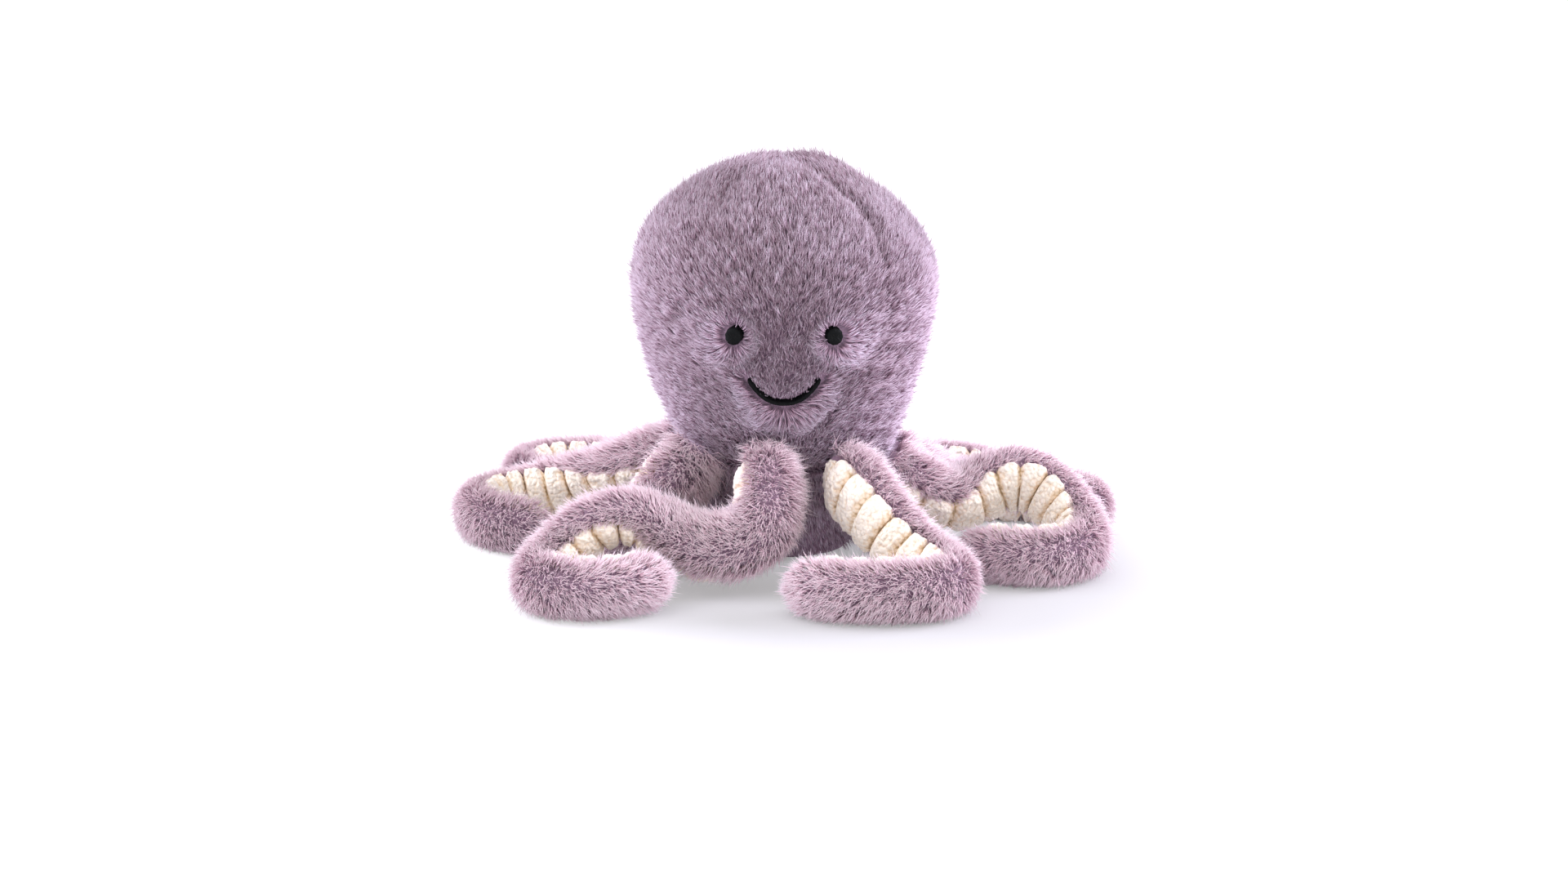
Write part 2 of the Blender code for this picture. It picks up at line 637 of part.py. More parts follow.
def arm_layout(degrees, bend_share, rows):
    """The route of an arm that stands just clear of the body, and its two hinges."""
    out = on_circle(degrees)
    swing_axis = np.array([out[1], -out[0], 0.0])
    route = arm_route(root_place(degrees, ARM_WIDTH / 2), rows)
    reach = nose_radius(route, 0.0, swing_axis) - ROOT_EASE
    route = arm_route(root_place(degrees, reach), rows)
    bend = bend_share * route["distance"][-1]
    place, along, face, side = frame_at(route, bend)
    return route, bend, {"place": route["root"], "axis": swing_axis}, {"place": place, "axis": side}


def arm(name, layout, materials):
    """One arm: an inner length that swings at the seam and an outer one that bends from it."""
    route, bend, swing, curl = layout
    length = route["distance"][-1]
    shoulder = add_empty(name + "_shoulder", swing["place"])
    elbow = add_empty(name + "_elbow", curl["place"], shoulder)
    cup = {"axis": curl["axis"], "radius": nose_radius(route, bend, curl["axis"])}
    arm_segment(name + "_inner", route, (0.0, bend), (swing["axis"], cup), materials, shoulder)
    arm_segment(name + "_outer", route, (bend, length), (curl["axis"], None), materials, elbow)


def build():
    """The whole toy."""
    clear_objects()
    materials = {
        "plush": cloth("mauve_plush", MAUVE_PLUSH, 0.95),
        "terry": cloth("cream_terry", CREAM_TERRY, 0.95),
        "fibre": cloth("white_fibre", WHITE_FIBRE, 1.0),
        "thread": cloth("black_thread", BLACK_THREAD, 0.55),
        "cotton": cloth("bag_cotton", BAG_COTTON, 0.9),
    }
    panel_degrees = 360.0 / len(PANEL_NAMES)
    for number, name in enumerate(PANEL_NAMES):
        first = FIRST_PANEL_SEAM_DEGREES + number * panel_degrees
        head_panel("head_" + name + "_panel", first, first + panel_degrees, materials["plush"])
    base_panel(materials["plush"])
    head_filling(materials["fibre"])
    pellet_bag(materials["cotton"])
    embroidered_eye("left_eye", -1, materials["thread"])
    embroidered_eye("right_eye", 1, materials["thread"])
    embroidered_mouth(materials["thread"])
    for name, (degrees, bend_share, rows) in ROUTE_SHARES.items():
        arm(name, arm_layout(degrees, bend_share, rows), materials)


build()
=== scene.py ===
# %% [markdown]
# # A plush octopus
#
# The toy sits on a pale floor with its eight arms curled round it. Its head is sewn from five
# panels of short mauve plush. Each arm is a strip of longer plush sewn to a ribbed cream terry
# strip, stuffed with fibre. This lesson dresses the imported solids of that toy: the solids say
# where each piece is, and the cells below give each piece its cloth, its pile and its stitches.

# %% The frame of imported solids
import json
import math

import bpy
import numpy as np
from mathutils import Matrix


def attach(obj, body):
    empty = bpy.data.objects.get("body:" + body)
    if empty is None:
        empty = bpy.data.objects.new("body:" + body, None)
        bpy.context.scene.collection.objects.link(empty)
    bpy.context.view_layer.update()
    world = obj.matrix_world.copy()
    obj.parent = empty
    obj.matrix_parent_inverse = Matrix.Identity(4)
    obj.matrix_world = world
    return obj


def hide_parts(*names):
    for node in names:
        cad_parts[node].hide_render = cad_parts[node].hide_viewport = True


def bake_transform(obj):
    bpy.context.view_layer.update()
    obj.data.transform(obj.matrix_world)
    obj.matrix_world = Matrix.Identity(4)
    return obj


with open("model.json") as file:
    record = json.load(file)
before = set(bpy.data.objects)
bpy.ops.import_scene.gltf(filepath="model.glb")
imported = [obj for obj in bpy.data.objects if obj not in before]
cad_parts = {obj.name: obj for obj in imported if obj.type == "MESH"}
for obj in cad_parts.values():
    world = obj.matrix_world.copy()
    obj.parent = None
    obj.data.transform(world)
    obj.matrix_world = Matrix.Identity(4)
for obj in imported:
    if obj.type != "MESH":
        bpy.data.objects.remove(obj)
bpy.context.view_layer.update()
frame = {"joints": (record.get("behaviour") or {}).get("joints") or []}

# %% [markdown]
# ## Stage, light and camera
#
# The toy was photographed on white with a large soft light overhead. A sun with a wide disc gives
# that light the same strength all over the floor, and the sky fills the shadows. White paper bright
# enough to look white would also hide the soft end of the shadow. So the camera alone sees a greyer
# paper with a faint glow. The glow grows away from the toy, where the paper turns white.
#
# Colours are written as hex codes, as a picture editor shows them. Blender works in linear light,
# so one function turns a code to linear. One more adds a node with its settings and its links.

# %% Colours and nodes
def linear(hex_code):
    """The linear colour of an sRGB hex code, as Blender's sockets want it."""
    value = np.array([int(hex_code[place:place + 2], 16) for place in (1, 3, 5)]) / 255
    curve = np.where(value <= 0.04045, value / 12.92, ((value + 0.055) / 1.055) ** 2.4)
    return (*curve.tolist(), 1.0)


def add_node(tree, kind, inputs=None, ramp=(), **settings):
    """A node with its settings, its inputs set or linked, and any ramp's places and hex codes."""
    node = tree.nodes.new(kind)
    for name, value in settings.items():
        setattr(node, name, value)
    for name, value in (inputs or {}).items():
        if isinstance(value, bpy.types.NodeSocket):
            tree.links.new(value, node.inputs[name])
        else:
            node.inputs[name].default_value = value
    if ramp:
        for _ in ramp[2:]:
            node.color_ramp.elements.new(1.0)
        for element, (place, code) in zip(node.color_ramp.elements, ramp):
            element.position = place
            element.color = linear(code)
    return node


def new_material(name):
    """A material whose node tree is still empty."""
    material = bpy.data.materials.new(name)
    material.use_nodes = True
    material.node_tree.nodes.clear()
    return material


print("a middle grey, #808080, is %.3f in linear light" % linear("#808080")[0])

# %% The white paper
PAPER_COLOUR = "#F3F3F6"
PAPER_TO_CAMERA = "#A1A0A5"
# Round this point the glow is weakest, so the paper near the toy carries a painted soft shadow on top of the
# rendered one.
SHADOW_MIDDLE = (0.04, -0.05, 0.0)
GLOW_START, GLOW_FULL = (0.085, 0.190)
FLOOR_GLOW = (0.33, 0.75)
WHITE = (1, 1, 1, 1)

paper = new_material("white_paper_backdrop")
tree = paper.node_tree
seen = add_node(tree, "ShaderNodeLightPath").outputs["Is Camera Ray"]
tint = add_node(tree, "ShaderNodeMix", {
    0: seen, 6: linear(PAPER_COLOUR), 7: linear(PAPER_TO_CAMERA)}, data_type="RGBA")
matt = add_node(tree, "ShaderNodeBsdfDiffuse", {"Color": tint.outputs[2]})
place = add_node(tree, "ShaderNodeTexCoord").outputs["Object"]
away = add_node(tree, "ShaderNodeVectorMath", {0: place, 1: SHADOW_MIDDLE}, operation="SUBTRACT")
reach = add_node(tree, "ShaderNodeVectorMath", {0: away.outputs[0]}, operation="LENGTH")
glow = add_node(tree, "ShaderNodeMapRange", {
    "Value": reach.outputs["Value"], "From Min": GLOW_START, "From Max": GLOW_FULL,
    "To Min": FLOOR_GLOW[0], "To Max": FLOOR_GLOW[1]}, interpolation_type="SMOOTHSTEP")
glow = add_node(tree, "ShaderNodeMath", {0: seen, 1: glow.outputs[0]}, operation="MULTIPLY")
glow = add_node(tree, "ShaderNodeEmission", {"Color": WHITE, "Strength": glow.outputs[0]})
both = add_node(tree, "ShaderNodeAddShader", {0: matt.outputs[0], 1: glow.outputs[0]})
add_node(tree, "ShaderNodeOutputMaterial", {"Surface": both.outputs[0]})
print("the paper's glow grows from", GLOW_START, "to", GLOW_FULL, "m away")

# %% The floor and the sky
FLOOR_SIZE = 60.0
SKY_LIGHT = 1.0

corners = np.array([[-1, -1, 0], [1, -1, 0], [1, 1, 0], [-1, 1, 0]]) * FLOOR_SIZE / 2
mesh = bpy.data.meshes.new("floor")
mesh.from_pydata(corners.tolist(), [], [(0, 1, 2, 3)])
mesh.materials.append(paper)
floor = bpy.data.objects.new("floor", mesh)
bpy.context.collection.objects.link(floor)

world = bpy.data.worlds.new("studio")
bpy.context.scene.world = world
world.use_nodes = True
sky = world.node_tree
sky.nodes.clear()
background = add_node(sky, "ShaderNodeBackground", {"Color": WHITE, "Strength": SKY_LIGHT})
add_node(sky, "ShaderNodeOutputWorld", {"Surface": background.outputs[0]})
print("floor", FLOOR_SIZE, "m wide, sky light", SKY_LIGHT)

# %% The soft overhead light, and a soft box at each side
SUN_STRENGTH = 0.80
SUN_DISC_DEGREES = 55.0
SUN_TILT_DEGREES = (18.0, -12.0, 0.0)
SOFT_BOX_WATTS = (17.0, 28.0)
SOFT_BOX_COLOUR = "#F2EEFF"
SOFT_BOX_SIZE = 0.9
SOFT_BOX_PLACE = (1.3, 0.1, 0.55)


def add_light(name, kind, strength):
    """A light of one kind, added to the scene."""
    lamp = bpy.data.lights.new(name, kind)
    lamp.energy = strength
    light = bpy.data.objects.new(name, lamp)
    bpy.context.collection.objects.link(light)
    return light


sun = add_light("soft_overhead_light", "SUN", SUN_STRENGTH)
sun.data.angle = math.radians(SUN_DISC_DEGREES)
sun.rotation_euler = [math.radians(turn) for turn in SUN_TILT_DEGREES]
for side, name, watts in zip((-1, 1), ("left_soft_box", "right_soft_box"), SOFT_BOX_WATTS):
    soft_box = add_light(name, "AREA", watts)
    soft_box.data.color = linear(SOFT_BOX_COLOUR)[:3]
    soft_box.data.size = SOFT_BOX_SIZE
    soft_box.location = (side * SOFT_BOX_PLACE[0], *SOFT_BOX_PLACE[1:])
    soft_box.rotation_euler = (-soft_box.location).to_track_quat("-Z", "Y").to_euler()
    soft_box.visible_camera = False
bpy.context.scene.view_settings.view_transform = "Standard"
print("sun", SUN_STRENGTH, "and soft boxes of", SOFT_BOX_WATTS, "W")

# %% The camera, a little above the toy and looking down on it
TARGET = np.array([0.0, 0.0, 0.045])
CAMERA_DISTANCE = 1.2
CAMERA_ELEVATION_DEGREES = 14.0
LENS_MM = 64.1

camera_data = bpy.data.cameras.new("camera")
camera_data.lens = LENS_MM
camera_data.clip_end = FLOOR_SIZE
camera = bpy.data.objects.new("camera", camera_data)
rise = math.radians(CAMERA_ELEVATION_DEGREES)
camera.location = TARGET + CAMERA_DISTANCE * np.array([0, -math.cos(rise), math.sin(rise)])
camera.rotation_euler = (math.pi / 2 - rise, 0, 0)
bpy.context.collection.objects.link(camera)
bpy.context.scene.camera = camera
print("camera", CAMERA_DISTANCE, "m away with a lens of", LENS_MM, "mm")

# %% [markdown]
# ## Surfaces and pile from arrays
#
# Each cloth is a surface worked out as whole arrays: rings of points joined into a closed body.
# Modelling by hand or simulating the cloth could give such a body too, but a formula can be used
# again, by the pile that grows on the cloth and by the stuffing under it.
#
# Real plush has a hundred hairs and more on a square millimetre. Particle hair would not survive
# an export, so the pile is real geometry too. Each lock stands for a bundle of hairs: a slim bent
# spindle of six triangles, wide in its middle and pointed at both ends.

# %% A mesh object from arrays
UV_MAP = "OFBake"


def unit(vectors):
    """Vectors, each divided by its length."""
    return vectors / np.maximum(np.linalg.norm(vectors, axis=-1, keepdims=True), 1e-12)


def put_mesh(name, points, triangles, corner_uv, material, shade=None):
    """A smooth mesh object from points, triangles, a UV for each corner and a shade for each point."""
    mesh = bpy.data.meshes.new(name)
    mesh.vertices.add(len(points))
    mesh.vertices.foreach_set("co", np.asarray(points, np.float32).ravel())
    mesh.loops.add(triangles.size)
    mesh.loops.foreach_set("vertex_index", triangles.astype(np.int32).ravel())
    mesh.polygons.add(len(triangles))
    mesh.polygons.foreach_set("loop_start", np.arange(0, triangles.size, 3, dtype=np.int32))
    mesh.polygons.foreach_set("use_smooth", np.ones(len(triangles), bool))
    mesh.update(calc_edges=True)
    layer = mesh.uv_layers.new(name=UV_MAP)
    layer.data.foreach_set("uv", np.asarray(corner_uv, np.float32).ravel())
    if shade is not None:
        store = mesh.attributes.new("shade", "FLOAT", "POINT")
        store.data.foreach_set("value", np.asarray(shade, np.float32))
    mesh.materials.append(material)
    piece = bpy.data.objects.new(name, mesh)
    bpy.context.collection.objects.link(piece)
    return piece


print("each piece will have one UV map,", UV_MAP)


# %% Closed bodies from rings of points
def ring_triangles(count, size):
    """Triangles that join rings of points one after another, and close both ends with fans."""
    row, column = np.meshgrid(np.arange(count - 1), np.arange(size), indexing="ij")
    after = (column + 1) % size
    low, low_after = row * size + column, row * size + after
    high, high_after = low + size, low_after + size
    sides = np.stack([low, low_after, high_after, low, high_after, high], axis=-1).reshape(-1, 3)
    across = np.arange(size)
    first, last = count * size, count * size + 1
    start = np.stack([np.full(size, first), (across + 1) % size, across], axis=-1)
    end = np.stack([np.full(size, last), across, (across + 1) % size], axis=-1)
    end[:, 1:] += (count - 1) * size
    return np.vstack([sides, start, end])


def ring_body(name, rings, material, shade=None):
    """A closed body through rings of points, with its ends closed at their middles.

    It is turned the right way out if its volume, the sum of a . (b x c) over its triangles, is
    negative. A triangle that crosses the line where the UV map starts again ends at 1, not 0."""
    count, size = rings.shape[:2]
    points = np.vstack([rings.reshape(-1, 3), rings[0].mean(axis=0), rings[-1].mean(axis=0)])
    triangles = ring_triangles(count, size)
    a, b, c = (points[triangles[:, corner]] for corner in range(3))
    if np.sum(a * np.cross(b, c)) < 0:
        triangles = triangles[:, ::-1]
    across = np.append(np.tile(np.arange(size) / size, count), [0.5, 0.5])
    along = np.append(np.repeat(np.arange(count) / (count - 1), size), [0.0, 1.0])
    uv = np.stack([across[triangles], along[triangles]], axis=-1)
    crosses = uv[..., 0].max(axis=1) - uv[..., 0].min(axis=1) > 0.5
    uv[crosses, :, 0] = np.where(uv[crosses, :, 0] < 0.3, 1.0, uv[crosses, :, 0])
    if shade is not None:
        shade = np.concatenate([shade.ravel(), [shade[0].mean(), shade[-1].mean()]])
    points[:, 2] = np.maximum(points[:, 2], 0.0)
    return put_mesh(name, points, triangles, uv, material, shade)


print("three rings of eight points make", len(ring_triangles(3, 8)), "triangles")

# %% Soft bumps, bells and fades
WAVE_SPREAD = (0.75, 1.3)


def ripples(points, wavelength, seed, waves=12):
    """Soft bumps of about -1 to 1 and their slope: a mean of cosines in random directions."""
    generator = np.random.default_rng(seed)
    heading = unit(generator.normal(size=(waves, 3))) * generator.uniform(*WAVE_SPREAD, (waves, 1))
    heading = heading * 2 * math.pi / wavelength
    angle = points @ heading.T + generator.uniform(0, 2 * math.pi, waves)
    gain = math.sqrt(2 * waves) / 2 / waves
    return np.cos(angle).sum(axis=1) * gain, -(np.sin(angle) @ heading) * gain


def bell(distance, reach):
    """A bell curve: 1 at no distance, and about a third at the reach."""
    return np.exp(-(distance / reach) ** 2)


def fade(distance, reach):
    """1 up to no distance, then down to about a third over each reach."""
    return np.exp(-np.maximum(distance, 0) / reach)


print("at its reach a fade is down to %.2f" % fade(1.0, 1.0))

# %% Locks of pile
LOCK_TURNS = np.radians([90.0, 210.0, 330.0])
LOCK_TRIANGLES = np.array([[0, 2, 1], [0, 3, 2], [0, 1, 3], [4, 1, 2], [4, 2, 3], [4, 3, 1]])
LOCK_UP = np.array([0.0, 0.5, 0.5, 0.5, 1.0])
LOCK_ACROSS = np.array([0.0, -1.0, 0.0, 1.0, 0.0])
LOCK_TONE_WIDTH = 0.008
TONE_MARGIN = 0.05
LOCK_FLOOR = 0.0002
ODD_DIRECTION = np.array([0.31, 0.47, 0.83])


def pile(name, roots, middles, tips, half_width, tone, material):
    """Locks of pile: each a spindle from its root through three points round its middle to its tip.

    Across the UV map lies the lock's tone and up it lies the way from root to tip, so that one
    material colours every lock."""
    count = len(roots)
    along = unit(tips - roots)
    other = unit(np.cross(along, ODD_DIRECTION))
    third = np.cross(along, other)
    width = np.broadcast_to(half_width, count)[:, None]
    ring = [middles + width * (math.cos(turn) * other + math.sin(turn) * third) for turn in LOCK_TURNS]
    points = np.stack([roots, *ring, tips], axis=1).reshape(-1, 3)
    points[:, 2] = np.maximum(points[:, 2], LOCK_FLOOR)
    triangles = (np.arange(count)[:, None, None] * len(LOCK_UP) + LOCK_TRIANGLES).reshape(-1, 3)
    tone = TONE_MARGIN + (1 - 2 * TONE_MARGIN) * np.clip(tone, 0, 1)
    across = tone[:, None] + LOCK_ACROSS * LOCK_TONE_WIDTH
    uv = np.stack([across, np.broadcast_to(LOCK_UP, across.shape)], axis=-1)
    return put_mesh(name, points, triangles, uv[:, LOCK_TRIANGLES].reshape(-1, 2), material)


print("a lock has", len(LOCK_UP), "points and", len(LOCK_TRIANGLES), "triangles")

# %% [markdown]
# ## Cloth and thread
#
# The plush is acrylic pile, knitted into its backing and dyed through. It is matt with a soft
# sheen, darker where it goes down to its backing and lighter at its tips: partly the dye, and
# partly painted shade down in the pile and a painted sheen on the tips. A picture of fur would do
# that from afar, but up close it would look flat. Here each lock is coloured from its own UV map: up
# it from root to tip, and across it from a cool dye to a warm one by a tone, which also carries
# painted light and shade.

# %% Acrylic pile, dyed mauve
PILE_PLACES = (0.1, 0.5, 0.95)


def pile_material(name, cool, warm):
    """Pile: dark at its root and pale at its tip, between a cool and a warm dye by its tone.

    The dark root is partly painted shade and the pale tip partly a painted sheen.
    """
    material = new_material(name)
    tree = material.node_tree
    coordinates = add_node(tree, "ShaderNodeUVMap", uv_map=UV_MAP)
    parts = add_node(tree, "ShaderNodeSeparateXYZ", {0: coordinates.outputs[0]})
    cool, warm = (add_node(tree, "ShaderNodeValToRGB", {0: parts.outputs["Y"]},
                           ramp=list(zip(PILE_PLACES, dye))).outputs[0] for dye in (cool, warm))
    colour = add_node(tree, "ShaderNodeMix", {0: parts.outputs["X"], 6: cool, 7: warm}, data_type="RGBA")
    shader = add_node(tree, "ShaderNodeBsdfPrincipled", {
        "Base Color": colour.outputs[2], "Roughness": 0.75, "Specular IOR Level": 0.3,
        "Sheen Weight": 0.4, "Sheen Roughness": 0.4, "Sheen Tint": linear("#EFE6FA")})
    add_node(tree, "ShaderNodeOutputMaterial", {"Surface": shader.outputs[0]})
    return material


# Each dye runs from root to middle to tip. Its dark root and pale tip are partly painted shade and painted
# sheen.
HEAD_PILE = pile_material(
    "acrylic_pile_clipped", ("#382028", "#745262", "#C6ACBA"), ("#8C687C", "#C4A0B6", "#F0E8F8"))
ARM_PILE = pile_material(
    "acrylic_pile_long", ("#9A7686", "#D4AEBE", "#F2DEE4"), ("#BA96A8", "#EED0DA", "#FFF4F8"))
print("dyed", HEAD_PILE.name, "and", ARM_PILE.name)

# %% [markdown]
# The backing is a plain knit in the same dye, but drawn paler than the roots of the pile: painted
# light that lifts the shade between the locks, so that thin pile never looks bare. A picture of
# knitting could show its loops, but the pile hides them. Polyester fibre fills the head, and a bag of
# cotton calico holds the pellets. Both are pale and matt, and only a cut would show them. So fine
# noise stands for all their threads. It is coarser for the fibre, because real fibre is too thin to
# show.

# %% The knitted backing, and the plain cloths out of sight
def plain_cloth(name, low, high, thread_mm, bump_mm):
    """A knitted or woven cloth: two colours in fine noise, with a bump of its threads."""
    material = new_material(name)
    tree = material.node_tree
    place = add_node(tree, "ShaderNodeTexCoord").outputs["Object"]
    grain = add_node(tree, "ShaderNodeTexNoise", {
        "Vector": place, "Scale": 1000 / thread_mm, "Detail": 3.0, "Roughness": 0.6}).outputs["Fac"]
    colour = add_node(tree, "ShaderNodeValToRGB", {0: grain}, ramp=((0.35, low), (0.65, high)))
    bump = add_node(tree, "ShaderNodeBump", {"Height": grain, "Distance": bump_mm / 1000})
    shader = add_node(tree, "ShaderNodeBsdfPrincipled", {
        "Base Color": colour.outputs[0], "Normal": bump.outputs[0], "Roughness": 0.92,
        "Specular IOR Level": 0.2, "Sheen Weight": 0.2, "Sheen Roughness": 0.5})
    add_node(tree, "ShaderNodeOutputMaterial", {"Surface": shader.outputs[0]})
    return material


# The backing's two colours are paler than the pile's roots: painted light that lifts the shade between the
# locks.
BACKING = plain_cloth("knitted_backing", "#967A90", "#AC90A4", 0.9, 0.3)
FIBRE = plain_cloth("polyester_fibre", "#D8D8D4", "#F2F2EE", 1.5, 0.8)
BAG_CLOTH = plain_cloth("cotton_calico", "#B3A88F", "#CFC6B0", 0.7, 0.2)
print("plain cloths", BACKING.name, FIBRE.name, BAG_CLOTH.name)

# %% [markdown]
# The terry is undyed cotton chenille: dead matt and fluffy. Its mesh carries the ribs and the
# larger nubs. The material adds the loops of yarn, which are drawn a little coarser than real ones
# so that they show. Its colour carries painted shade: a deeper, warmer cream down in the grooves and
# between the loops, and paler on top of the ribs and nubs. The mesh stores that as an attribute
# called shade.

# %% Cotton chenille, undyed cream
CHENILLE_LOOP_MM = 1.6
CHENILLE_FLUFF_MM = 2.6

CHENILLE = new_material("cotton_chenille")
tree = CHENILLE.node_tree
place = add_node(tree, "ShaderNodeTexCoord").outputs["Object"]
loops = add_node(tree, "ShaderNodeTexVoronoi", {
    "Vector": place, "Scale": 1000 / CHENILLE_LOOP_MM, "Randomness": 1.0}).outputs["Distance"]
fluff = add_node(tree, "ShaderNodeTexNoise", {
    "Vector": place, "Scale": 1000 / CHENILLE_FLUFF_MM, "Detail": 4.0, "Roughness": 0.65}).outputs["Fac"]
relief = add_node(tree, "ShaderNodeAttribute", attribute_name="shade").outputs["Fac"]
# Darker between the loops of yarn: painted shade.
between = add_node(tree, "ShaderNodeMapRange", {
    "Value": loops, "From Min": 0.25, "From Max": 0.80, "To Min": 0.0, "To Max": 0.40})
relief = add_node(tree, "ShaderNodeMath", {0: relief, 1: between.outputs[0]}, operation="SUBTRACT")
# The ramp runs from the painted shade of the grooves, a deeper warm cream, to painted light on the tops of
# the nubs.
cream = add_node(tree, "ShaderNodeValToRGB", {0: relief.outputs[0]},
                 ramp=((0.0, "#CBAE86"), (0.28, "#F8E2C8"), (0.62, "#FFF6EA")))
patch = add_node(tree, "ShaderNodeMapRange", {
    "Value": fluff, "From Min": 0.3, "From Max": 0.7, "To Min": 0.90, "To Max": 1.04})
cream = add_node(tree, "ShaderNodeVectorMath", {0: cream.outputs[0], "Scale": patch.outputs[0]},
                 operation="SCALE")
rounded = add_node(tree, "ShaderNodeMath", {0: loops, 1: 2.0}, operation="POWER")
raised = add_node(tree, "ShaderNodeMath", {0: fluff, 1: 0.3, 2: 1.0}, operation="MULTIPLY_ADD")
raised = add_node(tree, "ShaderNodeMath", {0: raised.outputs[0], 1: rounded.outputs[0]},
                  operation="SUBTRACT")
bump = add_node(tree, "ShaderNodeBump", {"Height": raised.outputs[0], "Distance": 0.0007})
shader = add_node(tree, "ShaderNodeBsdfPrincipled", {
    "Base Color": cream.outputs[0], "Normal": bump.outputs[0], "Roughness": 0.95,
    "Specular IOR Level": 0.15, "Sheen Weight": 0.3, "Sheen Roughness": 0.5})
add_node(tree, "ShaderNodeOutputMaterial", {"Surface": shader.outputs[0]})
print("chenille loops", CHENILLE_LOOP_MM, "mm apart")

# %% [markdown]
# The eyes and the mouth are rayon satin stitch: black, with a low gloss where its threads lie side
# by side. One thread is too fine to show in the material, so its bump is of the soft bands that
# some ten stitches make. A wave texture of scale 1 draws 20 / (2 pi) bands to a metre.

# %% Rayon satin stitch, black
STITCH_MM = 0.45
STITCH_BAND_MM = 10 * STITCH_MM

THREAD = new_material("rayon_satin_stitch")
tree = THREAD.node_tree
place = add_node(tree, "ShaderNodeTexCoord").outputs["Object"]
strands = add_node(tree, "ShaderNodeTexWave", {
    "Vector": place, "Scale": 2 * math.pi / 20 * 1000 / STITCH_BAND_MM, "Distortion": 1.5,
    "Detail": 2.0}, bands_direction="Z")
bump = add_node(tree, "ShaderNodeBump", {"Height": strands.outputs["Fac"], "Distance": 0.0002})
shader = add_node(tree, "ShaderNodeBsdfPrincipled", {
    "Base Color": linear("#050708"), "Normal": bump.outputs[0], "Roughness": 0.6,
    "Specular IOR Level": 0.12})
add_node(tree, "ShaderNodeOutputMaterial", {"Surface": shader.outputs[0]})
print("satin stitches", STITCH_MM, "mm apart")

# %% [markdown]
# ## The head
#
# The head is a surface of revolution in all but its seams: a full crown, tapering to where the
# arms are sewn on. It could be inflated by cloth simulation from its five flat panels. A curve was
# chosen, because the same one shaped the solids. It is sunk here by the length of the pile: the
# solids include the pile, and the cloth lies under it.

# %% The curve of the head
HEAD_TOP = 0.169
HEAD_RADIUS = 0.0642
WIDEST_HEIGHT = 0.116
SEAM_RADIUS = 0.0402
SEAM_HEIGHT = 0.036
SEAM_TILT = 0.008
FRONT_DEGREES = -110.0
CROWN_POWER_SHARE = 1.92
CHEEK_POWER_SHARE = 1.6
BASE_FLAT_RADIUS = 0.024
FIRST_PANEL_SEAM_DEGREES = -130.0
PANEL_DEGREES = 72.0
PANEL_NAMES = ("front", "right", "back_right", "back_left", "left")


def seam_height(degrees):
    """The seam between head and base, a level plane tipped so that its front is higher."""
    return SEAM_HEIGHT + SEAM_TILT * np.cos(np.radians(degrees - FRONT_DEGREES))


def head_radius(height, degrees):
    """Radius of the head: a full crown above its widest height, tapering in to the seam below.

    With u and v the shares of the way up and down from the widest height, the crown is
    R sqrt(1 - u^p), and the cheek takes off (R - seam) v^q."""
    above = np.clip((height - WIDEST_HEIGHT) / (HEAD_TOP - WIDEST_HEIGHT), 0, 1)
    below = np.clip((WIDEST_HEIGHT - height) / (WIDEST_HEIGHT - seam_height(degrees)), 0, 1)
    crown = HEAD_RADIUS * np.sqrt(1 - above ** CROWN_POWER_SHARE)
    return crown - (HEAD_RADIUS - SEAM_RADIUS) * below ** CHEEK_POWER_SHARE


def base_radius(height, degrees):
    """Radius of the base: a shallow bowl from the seam to a flat foot, a quarter of an ellipse."""
    share = np.clip(height / seam_height(degrees), 0, 1)
    return BASE_FLAT_RADIUS + (SEAM_RADIUS - BASE_FLAT_RADIUS) * np.sqrt(1 - (1 - share) ** 2)


print("half way up, the cheek is %.0f mm from the middle" % (1e3 * head_radius(HEAD_TOP / 2, 0.0)))

# %% [markdown]
# The face tells the cloth and the pile what to do near it. Round the eyes and under the smile the
# pile was brushed away from the stitches and lies flat, so the cloth comes nearer to the surface.
# The brushing could be painted by hand. Here it follows from distances, so it moves with the eyes.

# %% Where the face is
EYE_SPACING = 0.0406
EYE_HEIGHT = 0.1035
EYE_WIDTH = 0.0068
EYE_TALLNESS = 0.0076
EYE_BARE_INSET = 0.0005
EYE_BRUSH_START = 0.0055
EYE_BRUSH_REACH = 0.0062
EYE_BRUSH_LOPSIDED = 0.4
MOUTH_WIDTH = 0.0292
MOUTH_HEIGHT = 0.0848
MOUTH_DROP = 0.0105
MOUTH_STROKE = 0.0020
MOUTH_POWER = 2.4
MOUTH_BARE_INSET = 0.0001
MOUTH_BRUSH_START = 0.001
MOUTH_BRUSH_BELOW, MOUTH_BRUSH_ABOVE = 0.0100, 0.0036
MOUTH_BRUSH_FAN = 0.35
MOUTH_END_REACH = 0.003


def mouth_line(across):
    """Height of the smile at a place across the face: a bowl, a little flatter than a parabola."""
    share = np.clip(np.abs(across) / (MOUTH_WIDTH / 2), 0, 1)
    return MOUTH_HEIGHT - MOUTH_DROP * (1 - share ** MOUTH_POWER)


